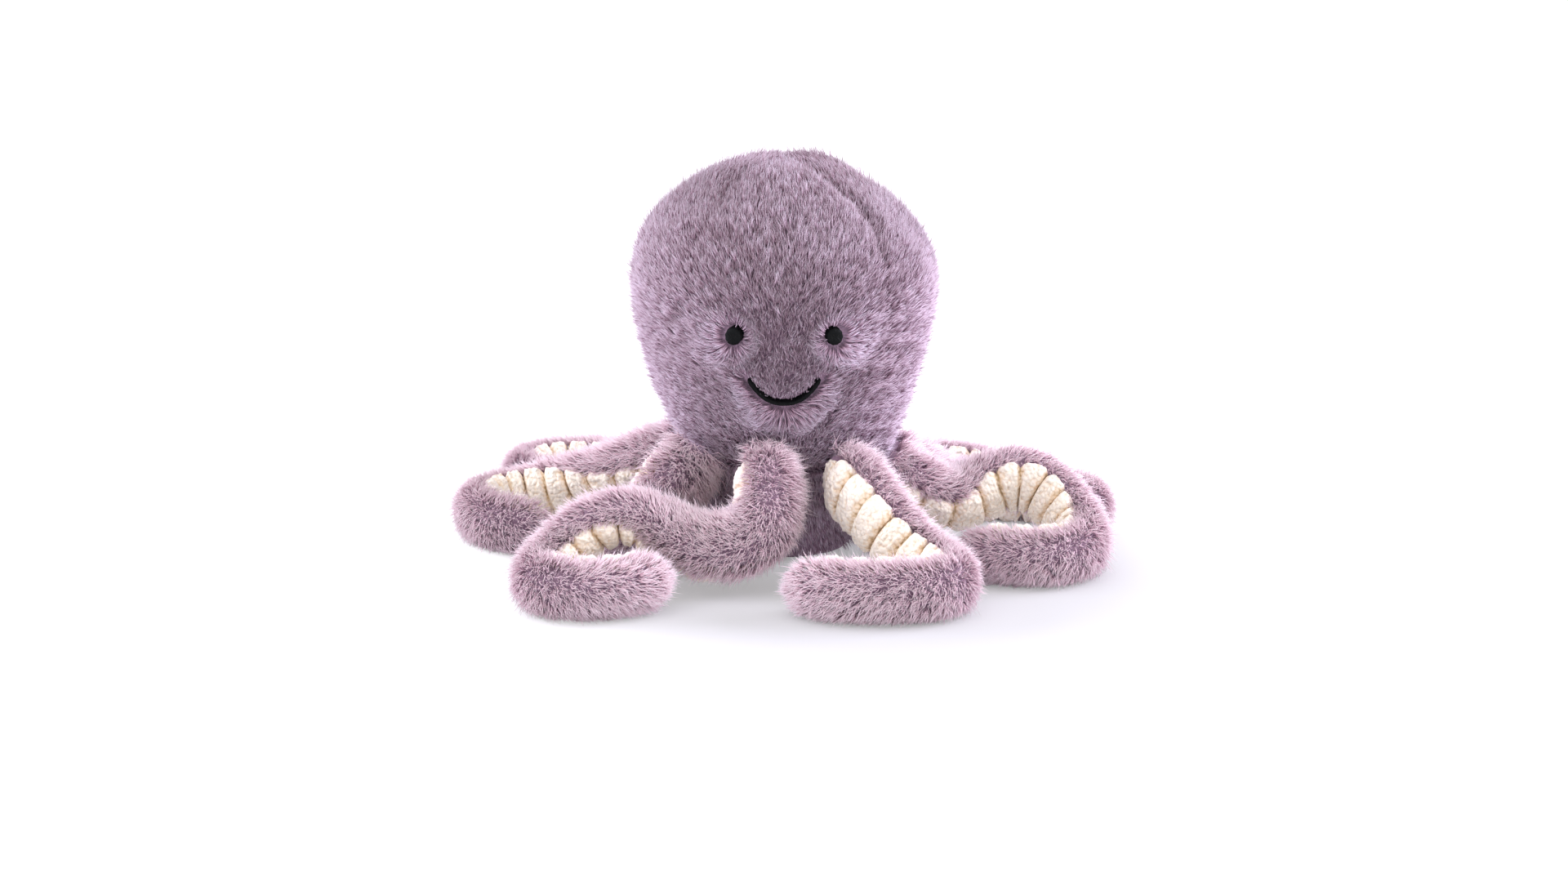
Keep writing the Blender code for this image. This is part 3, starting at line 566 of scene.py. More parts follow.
def face_brushing(points):
    """How the pile is brushed near the face: a direction times a strength, and a mask of bare spots.

    The brushing points straight away from each eye, further on its lower outer side, and away
    from the smile, further below it than above. It fades with the distance."""
    front = points[:, 1] < 0
    brush = np.zeros_like(points)
    bare = np.zeros(len(points), bool)
    for side in (-1, 1):
        away = points - np.array([side * EYE_SPACING / 2, 0, EYE_HEIGHT])
        away[:, 1] = 0
        away[:, 0] *= EYE_TALLNESS / EYE_WIDTH
        distance = np.linalg.norm(away, axis=1)
        lower_outer = EYE_BRUSH_LOPSIDED * unit(away) @ np.array([side * 0.6, 0, -0.8])
        reach = EYE_BRUSH_REACH * (1 - EYE_BRUSH_LOPSIDED + lower_outer)
        strength = fade(distance - EYE_BRUSH_START, reach)
        brush += unit(away) * (strength * front)[:, None]
        bare |= front & (distance < EYE_TALLNESS / 2 - EYE_BARE_INSET)
    rise = points[:, 2] - mouth_line(points[:, 0])
    beyond = np.maximum(np.abs(points[:, 0]) - MOUTH_WIDTH / 2, 0) * np.sign(points[:, 0])
    distance = np.hypot(rise, beyond)
    reach = np.where(rise < 0, MOUTH_BRUSH_BELOW, MOUTH_BRUSH_ABOVE)
    strength = fade(distance - MOUTH_BRUSH_START, reach) * fade(np.abs(beyond), MOUTH_END_REACH)
    fan = points[:, 0] * MOUTH_BRUSH_FAN * (rise < 0)
    lean = np.stack([beyond + fan, 0 * rise, rise], axis=1)
    brush += unit(lean) * (strength * front)[:, None]
    bare |= front & (distance < MOUTH_STROKE / 2 - MOUTH_BARE_INSET)
    return brush, bare


print("the smile hangs %.1f mm below its corners" % (1e3 * (mouth_line(MOUTH_WIDTH) - mouth_line(0.0))))

# %% [markdown]
# A panel seam draws the cloth in. The pull is a narrow dip across the seam, and the panel after it
# starts a little lower, so that the panel before it stands proud. Both are worked out from the
# distance to the nearest seam, measured along the surface, and fade towards the arms. A hand-sewn
# seam wanders a little. The stuffing has rolled the right one over by a few degrees, and beside it
# the shoulder is slack.

# %% Where the panel seams run
SEAM_SHARES = np.array([0.35, 1.0, 0.6, 0.5, 0.6])
SEAM_WANDERS = np.array([0, 11, 0, 0, 0])
SEAM_WAVE_DEGREES = 3.0
SEAM_WAVE_REACH = 0.006
SEAM_FADE_HEIGHT = 0.138
SEAM_FADE_REACH = 0.006
SEAM_FADED_SHARE = 0.2


def nearest_seam(degrees):
    """The number of the nearest seam, counted round from the first."""
    return np.round((degrees - FIRST_PANEL_SEAM_DEGREES) / PANEL_DEGREES).astype(int) % len(SEAM_SHARES)


def seam_distance(radius, degrees):
    """Signed distance along the surface to the nearest panel seam, which runs in a soft wave."""
    turn = (degrees - FIRST_PANEL_SEAM_DEGREES + PANEL_DEGREES / 2) % PANEL_DEGREES - PANEL_DEGREES / 2
    wander = SEAM_WANDERS[nearest_seam(degrees)] + SEAM_WAVE_DEGREES * np.sin(radius / SEAM_WAVE_REACH)
    return radius * np.radians(turn - wander)


def seam_strength(height, degrees):
    """How clearly the nearest seam shows: its own share, fading down from the crown in an S."""
    fallen = 1 + np.exp((SEAM_FADE_HEIGHT - height) / SEAM_FADE_REACH)
    return SEAM_SHARES[nearest_seam(degrees)] * (SEAM_FADED_SHARE + (1 - SEAM_FADED_SHARE) / fallen)


print("seams", len(SEAM_SHARES), "and the second is rolled by", SEAM_WANDERS[1], "degrees")

# %% Points and directions on the head
SEAM_PULL = 0.0026
SEAM_PULL_WIDTH = 0.0045
SEAM_STEP = 0.0018
SEAM_STEP_REACH = 0.009
STUFFING_LUMP = 0.0009
STUFFING_LUMP_SIZE = 0.035
SLACK = np.array([0.046, -0.006, 0.150])
SLACK_DEPTH = 0.0032
SLACK_REACH = 0.030
BRUSHED_RISE = 0.0012
CROWN_SMOOTH = 0.030
HEAD_SLOPE_STEP = 0.0004
UP = np.array([0, 0, 1.0])


def level_directions(degrees):
    """Level directions at angles round the toy: straight out from its middle, and on round it."""
    turn = np.radians(degrees)
    out = np.stack([np.cos(turn), np.sin(turn), 0 * turn], axis=-1)
    return out, np.stack([-np.sin(turn), np.cos(turn), 0 * turn], axis=-1)


def on_head(height, degrees, depth):
    """Points of the head's cloth at heights and angles, with its normal and the way down it.

    A point is (r cos a, r sin a, h), moved inwards along the normal by the depth and the pull of
    the seams, and outwards by the lumps of the stuffing and under brushed pile."""
    radius = head_radius(height, degrees)
    apart = seam_distance(radius, degrees)
    pull = SEAM_PULL * bell(apart, SEAM_PULL_WIDTH)
    pull = pull + SEAM_STEP * (apart > 0) * fade(apart, SEAM_STEP_REACH)
    pull = pull * seam_strength(height, degrees) * np.clip(radius / CROWN_SMOOTH, 0, 1)
    higher = np.minimum(height + HEAD_SLOPE_STEP, HEAD_TOP)
    slope = head_radius(higher, degrees) - head_radius(height - HEAD_SLOPE_STEP, degrees)
    slope = slope / (higher - height + HEAD_SLOPE_STEP)
    size = np.sqrt(1 + slope ** 2)
    out, on_round = level_directions(degrees)
    normal = (out - UP * slope[..., None]) / size[..., None]
    point = radius[..., None] * out + height[..., None] * UP
    flat = point.reshape(-1, 3)
    lump = ripples(flat, STUFFING_LUMP_SIZE, 5)[0].reshape(height.shape) * STUFFING_LUMP
    lump = lump - SLACK_DEPTH * bell(np.linalg.norm(point - SLACK, axis=-1), SLACK_REACH)
    brush, _ = face_brushing(flat)
    lump = lump + BRUSHED_RISE * np.minimum(np.linalg.norm(brush, axis=1), 1).reshape(height.shape)
    return point - normal * (depth + pull - lump)[..., None], normal, -unit(np.cross(on_round, normal))


print("a seam draws the cloth in by up to %.1f mm" % (1e3 * (SEAM_PULL + SEAM_STEP)))

# %% The panels' cloth
HEAD_SKIN_DEPTH = 0.0036
CLOTH_THICKNESS = 0.0016
PANEL_ROWS = 44
PANEL_COLUMNS = 22
PANEL_GAP_DEGREES = 0.10
SEAM_GAP = 0.0002
CROWN_SHARE = 0.999998


def crown_rows(count):
    """Shares of the way up to the crown, the sines of even angles, which crowd together near it."""
    return np.sin(np.linspace(0, math.pi / 2, count))[:, None]


def panel_cloth(name, first_degrees):
    """One panel: an outer and an inner sheet from seam to crown, joined round their rim."""
    degrees = np.linspace(first_degrees + PANEL_GAP_DEGREES,
                          first_degrees + PANEL_DEGREES - PANEL_GAP_DEGREES, PANEL_COLUMNS)[None, :]
    low = seam_height(degrees) + SEAM_GAP
    height = low + (HEAD_TOP * CROWN_SHARE - low) * crown_rows(PANEL_ROWS)
    degrees = np.broadcast_to(degrees, height.shape)
    outer = on_head(height, degrees, HEAD_SKIN_DEPTH)[0]
    inner = on_head(height, degrees, HEAD_SKIN_DEPTH + CLOTH_THICKNESS)[0]
    return ring_body(name, np.concatenate([outer, inner[:, ::-1]], axis=1), BACKING)


for number, name in enumerate(PANEL_NAMES):
    cloth = panel_cloth(f"{name}_panel_cloth", FIRST_PANEL_SEAM_DEGREES + number * PANEL_DEGREES)
    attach(cloth, "body")
    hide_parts(f"head_{name}_panel")
print("panels", len(PANEL_NAMES), "of", len(cloth.data.polygons), "triangles")

# %% [markdown]
# Under the head are the base, a bowl with a flat foot that the toy stands on, and the things that
# only a cut would show: a calico bag of pellets that weighs the toy down, and loose fibre above it.
# Each is a stack of level rings. The fibre follows the panels' own curve, so that it fills the
# head right up to the seams and shows through none of them.

# %% The base's cloth, the pellet bag and the stuffing
ROUND_COLUMNS = 60
BOWL_ROWS = 14
BOWL_ROW_POWER = 1.5
FOOT_SKIN_SHARE = 0.6
BAG_BOTTOM = 0.0041
BAG_LOWERING = 0.0056
BAG_WIDTH_SHARE = 0.86
BAG_HEIGHT_SHARE = 0.985
STUFFING_COLUMNS = 120
STUFFING_ROWS = 30
STUFFING_GAP = 0.0034
STUFFING_BOTTOM = 0.0012
STUFFING_CROWN_SHARE = 0.99999


def round_body(name, radius, height, material):
    """A closed body of revolution through rings of the given radii and heights."""
    turn = np.radians(np.arange(ROUND_COLUMNS) * 360 / ROUND_COLUMNS)
    rings = np.stack([radius * np.cos(turn), radius * np.sin(turn), height + 0 * turn], axis=-1)
    return ring_body(name, rings, material)


around = np.arange(ROUND_COLUMNS)[None, :] * 360 / ROUND_COLUMNS
share = np.linspace(0, 1, BOWL_ROWS)[:, None] ** BOWL_ROW_POWER
level = share * (seam_height(around) - SEAM_GAP)
skin = np.minimum(HEAD_SKIN_DEPTH, level * FOOT_SKIN_SHARE)
base = round_body("base_cloth", base_radius(level, around) - skin, level, BACKING)
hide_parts("base_panel")

level = BAG_BOTTOM + share * (seam_height(around) - BAG_LOWERING)
bag = round_body("pellet_bag_cloth", base_radius(level, around) * BAG_WIDTH_SHARE,
                 level * BAG_HEIGHT_SHARE, BAG_CLOTH)
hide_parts("pellet_bag")

around = np.arange(STUFFING_COLUMNS)[None, :] * 360 / STUFFING_COLUMNS
low = seam_height(around) + STUFFING_BOTTOM
level = low + (HEAD_TOP * STUFFING_CROWN_SHARE - low) * crown_rows(STUFFING_ROWS)
around = np.broadcast_to(around, level.shape)
fill = on_head(level, around, HEAD_SKIN_DEPTH + CLOTH_THICKNESS + STUFFING_GAP)[0]
stuffing = ring_body("head_fibre", fill, FIBRE)
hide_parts("head_stuffing")
for piece in (base, bag, stuffing):
    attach(piece, "body")
    print(piece.name, len(piece.data.polygons), "triangles")

# %% [markdown]
# ## The head's pile
#
# The pile is clipped short and brushed down from the crown. It parts along the panel seams. Round
# the eyes it was brushed away from the stitches, and under the smile too, and there its colour is
# drawn lighter and pinker: a painted sheen of the flattened pile. Neighbouring locks cling together
# at their tips, so the dark roots show between the clumps, and the locks in those gaps are drawn
# darker as painted shade. Hair tools clump strands by drawing them to guides. Here each tip is drawn
# down the slope of a field of soft bumps, which needs no guides and gives the same each time.

# %% How locks lean, bend and cling
TUFT_SHARE = 2.6
TUFT_PULL = 0.5
DRIFT_SHARE = 4
CLUMP_WEIGHT, TUFT_WEIGHT = 0.7, 0.5
SWIRL = 0.22
LEAN_WAVE = 0.12
LEAN_SPREAD_DEGREES = 7
LENGTH_SPREAD = 0.10
LENGTH_IN_CLUMP = 0.10
STRAY_SHARE = 0.05
STRAY_LENGTH, STRAY_RISE = 0.30, 0.40
STEEPER, FLATTER = 0.45, 0.28
MIDDLE_DRAWN_SHARE = 0.4


def comb(roots, normal, nap, length, lean, clump_size, clump_reach, seed, smooth=0.0, loose=0.15):
    """Middles, tips and clump heights of locks that lean from the normal along the nap.

    Each lock rises steeply from its root and bends over half way. Loose locks turn further from
    the nap. Each tip is then drawn down the slope of the clump field, less where the pile was
    brushed smooth."""
    generator = np.random.default_rng(seed)
    count = len(roots)
    clump, slope = ripples(roots, clump_size, seed + 1)
    tuft, wide_slope = ripples(roots, clump_size * TUFT_SHARE, seed + 3)
    large, _ = ripples(roots, clump_size * DRIFT_SHARE, seed + 2)
    slope = slope + wide_slope * TUFT_SHARE * TUFT_PULL
    slope = slope - normal * np.sum(slope * normal, axis=1, keepdims=True)
    clump = clump * CLUMP_WEIGHT + tuft * TUFT_WEIGHT
    nap = unit(nap - normal * np.sum(nap * normal, axis=1, keepdims=True))
    side = np.cross(normal, nap)
    swirl = generator.normal(0, loose, count) + large * SWIRL
    nap = nap * np.cos(swirl)[:, None] + side * np.sin(swirl)[:, None]
    lean = lean + np.radians(generator.normal(0, LEAN_SPREAD_DEGREES, count)) + large * LEAN_WAVE
    length = length * (1 + generator.normal(0, LENGTH_SPREAD, count) - clump * LENGTH_IN_CLUMP)
    stray = generator.uniform(0, 1, count) < STRAY_SHARE
    length = length * (1 + STRAY_LENGTH * stray)
    lean = lean - STRAY_RISE * stray
    steep = (lean - STEEPER)[:, None]
    flat = (lean + FLATTER)[:, None]
    half = (length / 2)[:, None]
    middles = roots + half * (np.cos(steep) * normal + np.sin(steep) * nap)
    tips = middles + half * (np.cos(flat) * normal + np.sin(flat) * nap)
    drawn = -slope * (clump_size / (2 * math.pi)) ** 2 * clump_reach
    drawn = drawn * (1 - np.broadcast_to(smooth, count))[:, None]
    return middles + drawn * MIDDLE_DRAWN_SHARE, tips + drawn, clump


print("one lock in", round(1 / STRAY_SHARE), "strays from its neighbours")

# %% Where the locks of a panel grow
HEAD_LOCKS_PER_MM2 = 2.95
PANEL_SLICES = 4000
PANEL_TOP_GAP = 0.00002
ROOTS_BELOW_SEAM = 0.001

slice_heights = np.linspace(SEAM_HEIGHT, HEAD_TOP - PANEL_TOP_GAP, PANEL_SLICES)
slice_radii = head_radius(slice_heights, 0.0)
slices = slice_radii[:-1] * np.hypot(np.diff(slice_radii), np.diff(slice_heights))
slices = slices * math.radians(PANEL_DEGREES)


def panel_roots(number, generator):
    """Heights and angles of one panel's locks, spread evenly over its area.

    The panel is cut into thin level slices, each of area r ds times its angle, and a lock falls in
    a slice as often as the slice has area."""
    count = int(slices.sum() * 1e6 * HEAD_LOCKS_PER_MM2)
    shares = np.append(0, np.cumsum(slices)) / slices.sum()
    height = np.interp(generator.uniform(0, 1, count), shares, slice_heights)
    degrees = FIRST_PANEL_SEAM_DEGREES + PANEL_DEGREES * (number + generator.uniform(0, 1, count))
    keep = height > seam_height(degrees) - ROOTS_BELOW_SEAM
    return height[keep], degrees[keep]


print("head cloth %.0f cm2" % (slices.sum() * len(PANEL_NAMES) * 1e4))

# %% Pile on the panels
HEAD_PILE_LENGTH = 0.0068
HEAD_LOCK_HALF_WIDTH = 0.00016
LOCK_WIDTH_SPREAD = 0.15
HEAD_LEAN_DEGREES = 48.0
ROOT_DEPTH = 0.0002
CLUMP_SIZE = 0.0027
CLUMP_REACH = 1.25
PARTING_WIDTH = 0.0028
PARTING_NAP, OUTWARD_NAP, BRUSHED_NAP = 0.5, 0.8, 3.0
OUTWARD_REACH = 0.045
BRUSHED_LEAN = 0.32
PARTED_SHORTER, TRIMMED_SHORTER = 0.3, 0.65
TRIM_REACH = 0.0045
FOREHEAD = np.array([0.004, -0.060, 0.123])
FOREHEAD_REACH = 0.048
BRUSHED_SMOOTH, MATTED_ROUGH = 0.8, 0.7
LOOSE, MATTED_LOOSE = 0.15, 0.12
LOW_HEIGHT, LOW_REACH = 0.080, 0.03
CROWN_HEIGHT, CROWN_REACH = 0.145, 0.02
PATCH_SIZE = 0.045
TONE, TONE_SPREAD, MATTED_SPREAD, TONE_PATCH = 0.34, 0.26, 0.5, 0.08
# Painted light and shade in the tone: shade in the gaps between clumps, in partings, on the crown and over
# the matted forehead; a sheen where brushed flat; light low on the head.
TONE_GAP_SHADE, TONE_MATTED_GAP_SHADE = 0.22, 0.40
TONE_BRUSHED_SHEEN, TONE_PARTING_SHADE, TONE_LOW_PAINTED_LIGHT, TONE_CROWN_SHADE, TONE_MATTED_SHADE = 0.76, 0.85, 0.30, 0.24, 0.25


def panel_pile(name, number):
    """One panel's pile: napped down, off the seams, away from the face, and matted on the forehead.

    Its tone rises where it was brushed, as a painted sheen, and low on the head, as painted light
    that lifts the shade there. It falls as painted shade in partings, in the gaps between clumps, on
    the crown where the overhead light falls strongest, and over the matted forehead."""
    generator = np.random.default_rng(100 + number)
    height, degrees = panel_roots(number, generator)
    roots, normal, down = on_head(height, degrees, np.full(len(height), HEAD_SKIN_DEPTH + ROOT_DEPTH))
    brush, bare = face_brushing(roots)
    roots, normal, down, brush, degrees = (item[~bare] for item in (roots, normal, down, brush, degrees))
    across, height, front = roots[:, 0], roots[:, 2], roots[:, 1] < 0
    radius = np.hypot(across, roots[:, 1])
    apart = seam_distance(radius, degrees)
    parting = fade(np.abs(apart), PARTING_WIDTH) * seam_strength(height, degrees)
    parting = parting * np.clip(radius / CROWN_SMOOTH, 0, 1)
    strength = np.minimum(np.linalg.norm(brush, axis=1), 1.0)
    matted = bell(np.linalg.norm(roots - FOREHEAD, axis=1), FOREHEAD_REACH) * (1 - strength)
    outward = across / HEAD_RADIUS * bell(height - EYE_HEIGHT, OUTWARD_REACH) * front
    sideways = (np.sign(apart) * parting * PARTING_NAP + outward * OUTWARD_NAP)[:, None]
    nap = down + level_directions(degrees)[1] * sideways + brush * BRUSHED_NAP
    lean = math.radians(HEAD_LEAN_DEGREES) + strength * BRUSHED_LEAN
    above = height - mouth_line(across)
    trimmed = fade(np.abs(above), TRIM_REACH) * (above > 0) * (np.abs(across) < MOUTH_WIDTH / 2)
    length = HEAD_PILE_LENGTH * (1 - PARTED_SHORTER * parting) * (1 - TRIMMED_SHORTER * trimmed * front)
    middles, tips, clump = comb(
        roots, normal, nap, length, lean, CLUMP_SIZE, CLUMP_REACH, 200 + number,
        strength * BRUSHED_SMOOTH - matted * MATTED_ROUGH, LOOSE + matted * MATTED_LOOSE)
    tone = TONE + generator.normal(0, TONE_SPREAD, len(roots)) * (1 + MATTED_SPREAD * matted)
    tone = tone + ripples(roots, PATCH_SIZE, 77)[0] * TONE_PATCH
    # From here the tone takes painted shade in clump gaps and partings, painted sheen where brushed, painted
    # light low down, and painted shade on the crown and forehead.
    tone = tone - clump * (TONE_GAP_SHADE * (1 - strength) + TONE_MATTED_GAP_SHADE * matted)
    tone = tone + strength * TONE_BRUSHED_SHEEN - parting * TONE_PARTING_SHADE
    tone = tone + TONE_LOW_PAINTED_LIGHT * np.clip((LOW_HEIGHT - height) / LOW_REACH, 0, 1)
    tone = tone - TONE_CROWN_SHADE * np.clip((height - CROWN_HEIGHT) / CROWN_REACH, 0, 1)
    tone = tone - TONE_MATTED_SHADE * matted
    width = np.abs(HEAD_LOCK_HALF_WIDTH * (1 + generator.normal(0, LOCK_WIDTH_SPREAD, len(roots))))
    return pile(f"{name}_panel_pile", roots, middles, tips, width, tone, HEAD_PILE)


for number, name in enumerate(PANEL_NAMES):
    piece = panel_pile(name, number)
    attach(piece, "body")
    print(name, "panel", len(piece.data.polygons) // len(LOCK_TRIANGLES), "locks")

# %% Pile on the base, mostly behind the arms
BASE_LOCKS = 18000
BASE_PILE_LENGTH = 0.0064
BASE_LOWEST_SHARE = 0.01
BASE_TOP_GAP = 0.0005
# The base's tone is set above the head's: painted light that lifts the shade under the head. The gaps between
# its clumps get painted shade.
BASE_LIFTED_TONE, BASE_TONE_SPREAD, BASE_GAP_SHADE = 0.60, 0.18, 0.20

generator = np.random.default_rng(150)
degrees = generator.uniform(0, 360, BASE_LOCKS)
height = np.sqrt(generator.uniform(BASE_LOWEST_SHARE, 1, BASE_LOCKS))
height = height * (seam_height(degrees) - BASE_TOP_GAP)
out, _ = level_directions(degrees)
roots = (base_radius(height, degrees) - HEAD_SKIN_DEPTH)[:, None] * out
roots[:, 2] = height
middles, tips, clump = comb(
    roots, out, np.tile(-UP, (BASE_LOCKS, 1)), np.full(BASE_LOCKS, BASE_PILE_LENGTH),
    math.radians(HEAD_LEAN_DEGREES), CLUMP_SIZE, CLUMP_REACH, 151)
tone = BASE_LIFTED_TONE + generator.normal(0, BASE_TONE_SPREAD, BASE_LOCKS) - clump * BASE_GAP_SHADE
base_pile = pile("base_pile", roots, middles, tips, HEAD_LOCK_HALF_WIDTH, tone, HEAD_PILE)
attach(base_pile, "body")
print("base", BASE_LOCKS, "locks")

# %% [markdown]
# ## The embroidered face
#
# Each eye is a disc of satin stitch with a low crown, worked right through the pile to the
# backing. The smile is one line of the same stitch. A decal would give their colour and no more,
# so both are bodies with ridges for their stitches. They reach down to the backing, so that
# nothing floats.

# %% Points of the face
FACE_SLOPE_STEP = 0.0003


def face_point(across, height, lift):
    """A point of the face, lifted off the head's surface along its normal."""
    angle = np.degrees(np.arcsin(np.clip(across / head_radius(height, -90.0), -1, 1))) - 90.0
    slope = head_radius(height + FACE_SLOPE_STEP, angle) - head_radius(height - FACE_SLOPE_STEP, angle)
    slope = slope / (2 * FACE_SLOPE_STEP)
    size = np.sqrt(1 + slope ** 2)
    turn = np.radians(angle)
    reach = head_radius(height, angle) + lift / size
    return np.stack([reach * np.cos(turn), reach * np.sin(turn), height - lift / size * slope], axis=-1)


print("between the eyes, the face is at", face_point(0.0, EYE_HEIGHT, 0.0).round(4))

# %% Eyes and smile
EYE_COLUMNS = 48
EYE_SHARES = np.array([0.94, 1.0, 1.0, 0.98, 0.93, 0.84, 0.7, 0.52, 0.34, 0.16])
EYE_LIFTS = np.array([
    -HEAD_SKIN_DEPTH, -0.002, 0.0, 0.0005, 0.0009, 0.0012, 0.00135, 0.00145, 0.0015, 0.0015])
EYE_RAGGED, EYE_RAGS = 0.03, 11
RAGGED_OUTSIDE, RIDGED_INSIDE = 0.9, 0.95
EYE_RIDGE = 0.00010
SMILE_ROWS, SMILE_COLUMNS = 90, 12
SMILE_STROKE = 0.0016
SMILE_LIFT = 0.0012
SMILE_END_SHARE, SMILE_END_SPEED = 0.55, 9
SMILE_WAVY, SMILE_WAVE = 0.10, 0.0009


def satin_eye(name, side):
    """An eye: rings of an oval dome whose height falls off as a rounded rim, ridged by stitches."""
    turn = np.linspace(0, 2 * math.pi, EYE_COLUMNS, endpoint=False)[None, :]
    share = EYE_SHARES[:, None]
    ragged = 1 + EYE_RAGGED * np.cos(turn * EYE_RAGS + side) * (share > RAGGED_OUTSIDE)
    across = side * EYE_SPACING / 2 + share * ragged * EYE_WIDTH / 2 * np.cos(turn)
    height = EYE_HEIGHT + share * ragged * EYE_TALLNESS / 2 * np.sin(turn)
    ridge = EYE_RIDGE * np.sin(2 * math.pi * across / (STITCH_MM / 1000)) * (share < RIDGED_INSIDE)
    return ring_body(name, face_point(across, height, EYE_LIFTS[:, None] + ridge), THREAD)


def satin_smile(name):
    """The smile: a rounded cord of stitches along its curve, deeper at the back than the front."""
    share = np.linspace(-1, 1, SMILE_ROWS)[:, None]
    turn = np.linspace(0, 2 * math.pi, SMILE_COLUMNS, endpoint=False)[None, :]
    slope = MOUTH_POWER * MOUTH_DROP * np.abs(share) ** (MOUTH_POWER - 1) / (MOUTH_WIDTH / 2)
    slant = np.arctan(slope * np.sign(share))
    taper = np.minimum(1, SMILE_END_SHARE + SMILE_END_SPEED * (1 - np.abs(share)))
    wavy = 1 + SMILE_WAVY * np.sin(2 * math.pi * share * MOUTH_WIDTH / 2 / SMILE_WAVE)
    rise = SMILE_STROKE / 2 * taper * wavy * np.cos(turn)
    across = share * MOUTH_WIDTH / 2 - rise * np.sin(slant)
    height = mouth_line(share * MOUTH_WIDTH / 2) + rise * np.cos(slant)
    lift = np.where(np.sin(turn) > 0, SMILE_LIFT * np.sin(turn), HEAD_SKIN_DEPTH * np.sin(turn)) * taper
    return ring_body(name, face_point(across, height, lift), THREAD)


stitched = {
    "left_eye": satin_eye("left_eye_stitches", -1),
    "right_eye": satin_eye("right_eye_stitches", 1),
    "mouth": satin_smile("smile_stitches"),
}
for node, piece in stitched.items():
    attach(piece, "body")
    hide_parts(node)
    print(piece.name, len(piece.data.polygons), "triangles")

# %% [markdown]
# ## The arms
#
# An arm could be bent by an armature. Here it follows a smooth curve instead, so that its cloth is
# never squeezed at a bend. The curve runs through a few places measured from the arm's root. Each
# row below gives a place across and along the floor as shares of the arm's reach, its height as a
# share of the root's, and which way the terry faces: its turn and its rise in degrees. Before the
# rows stands the share of its length at which the arm bends. The frame's own joints give the
# roots, so the arms meet the body exactly where the solids do.

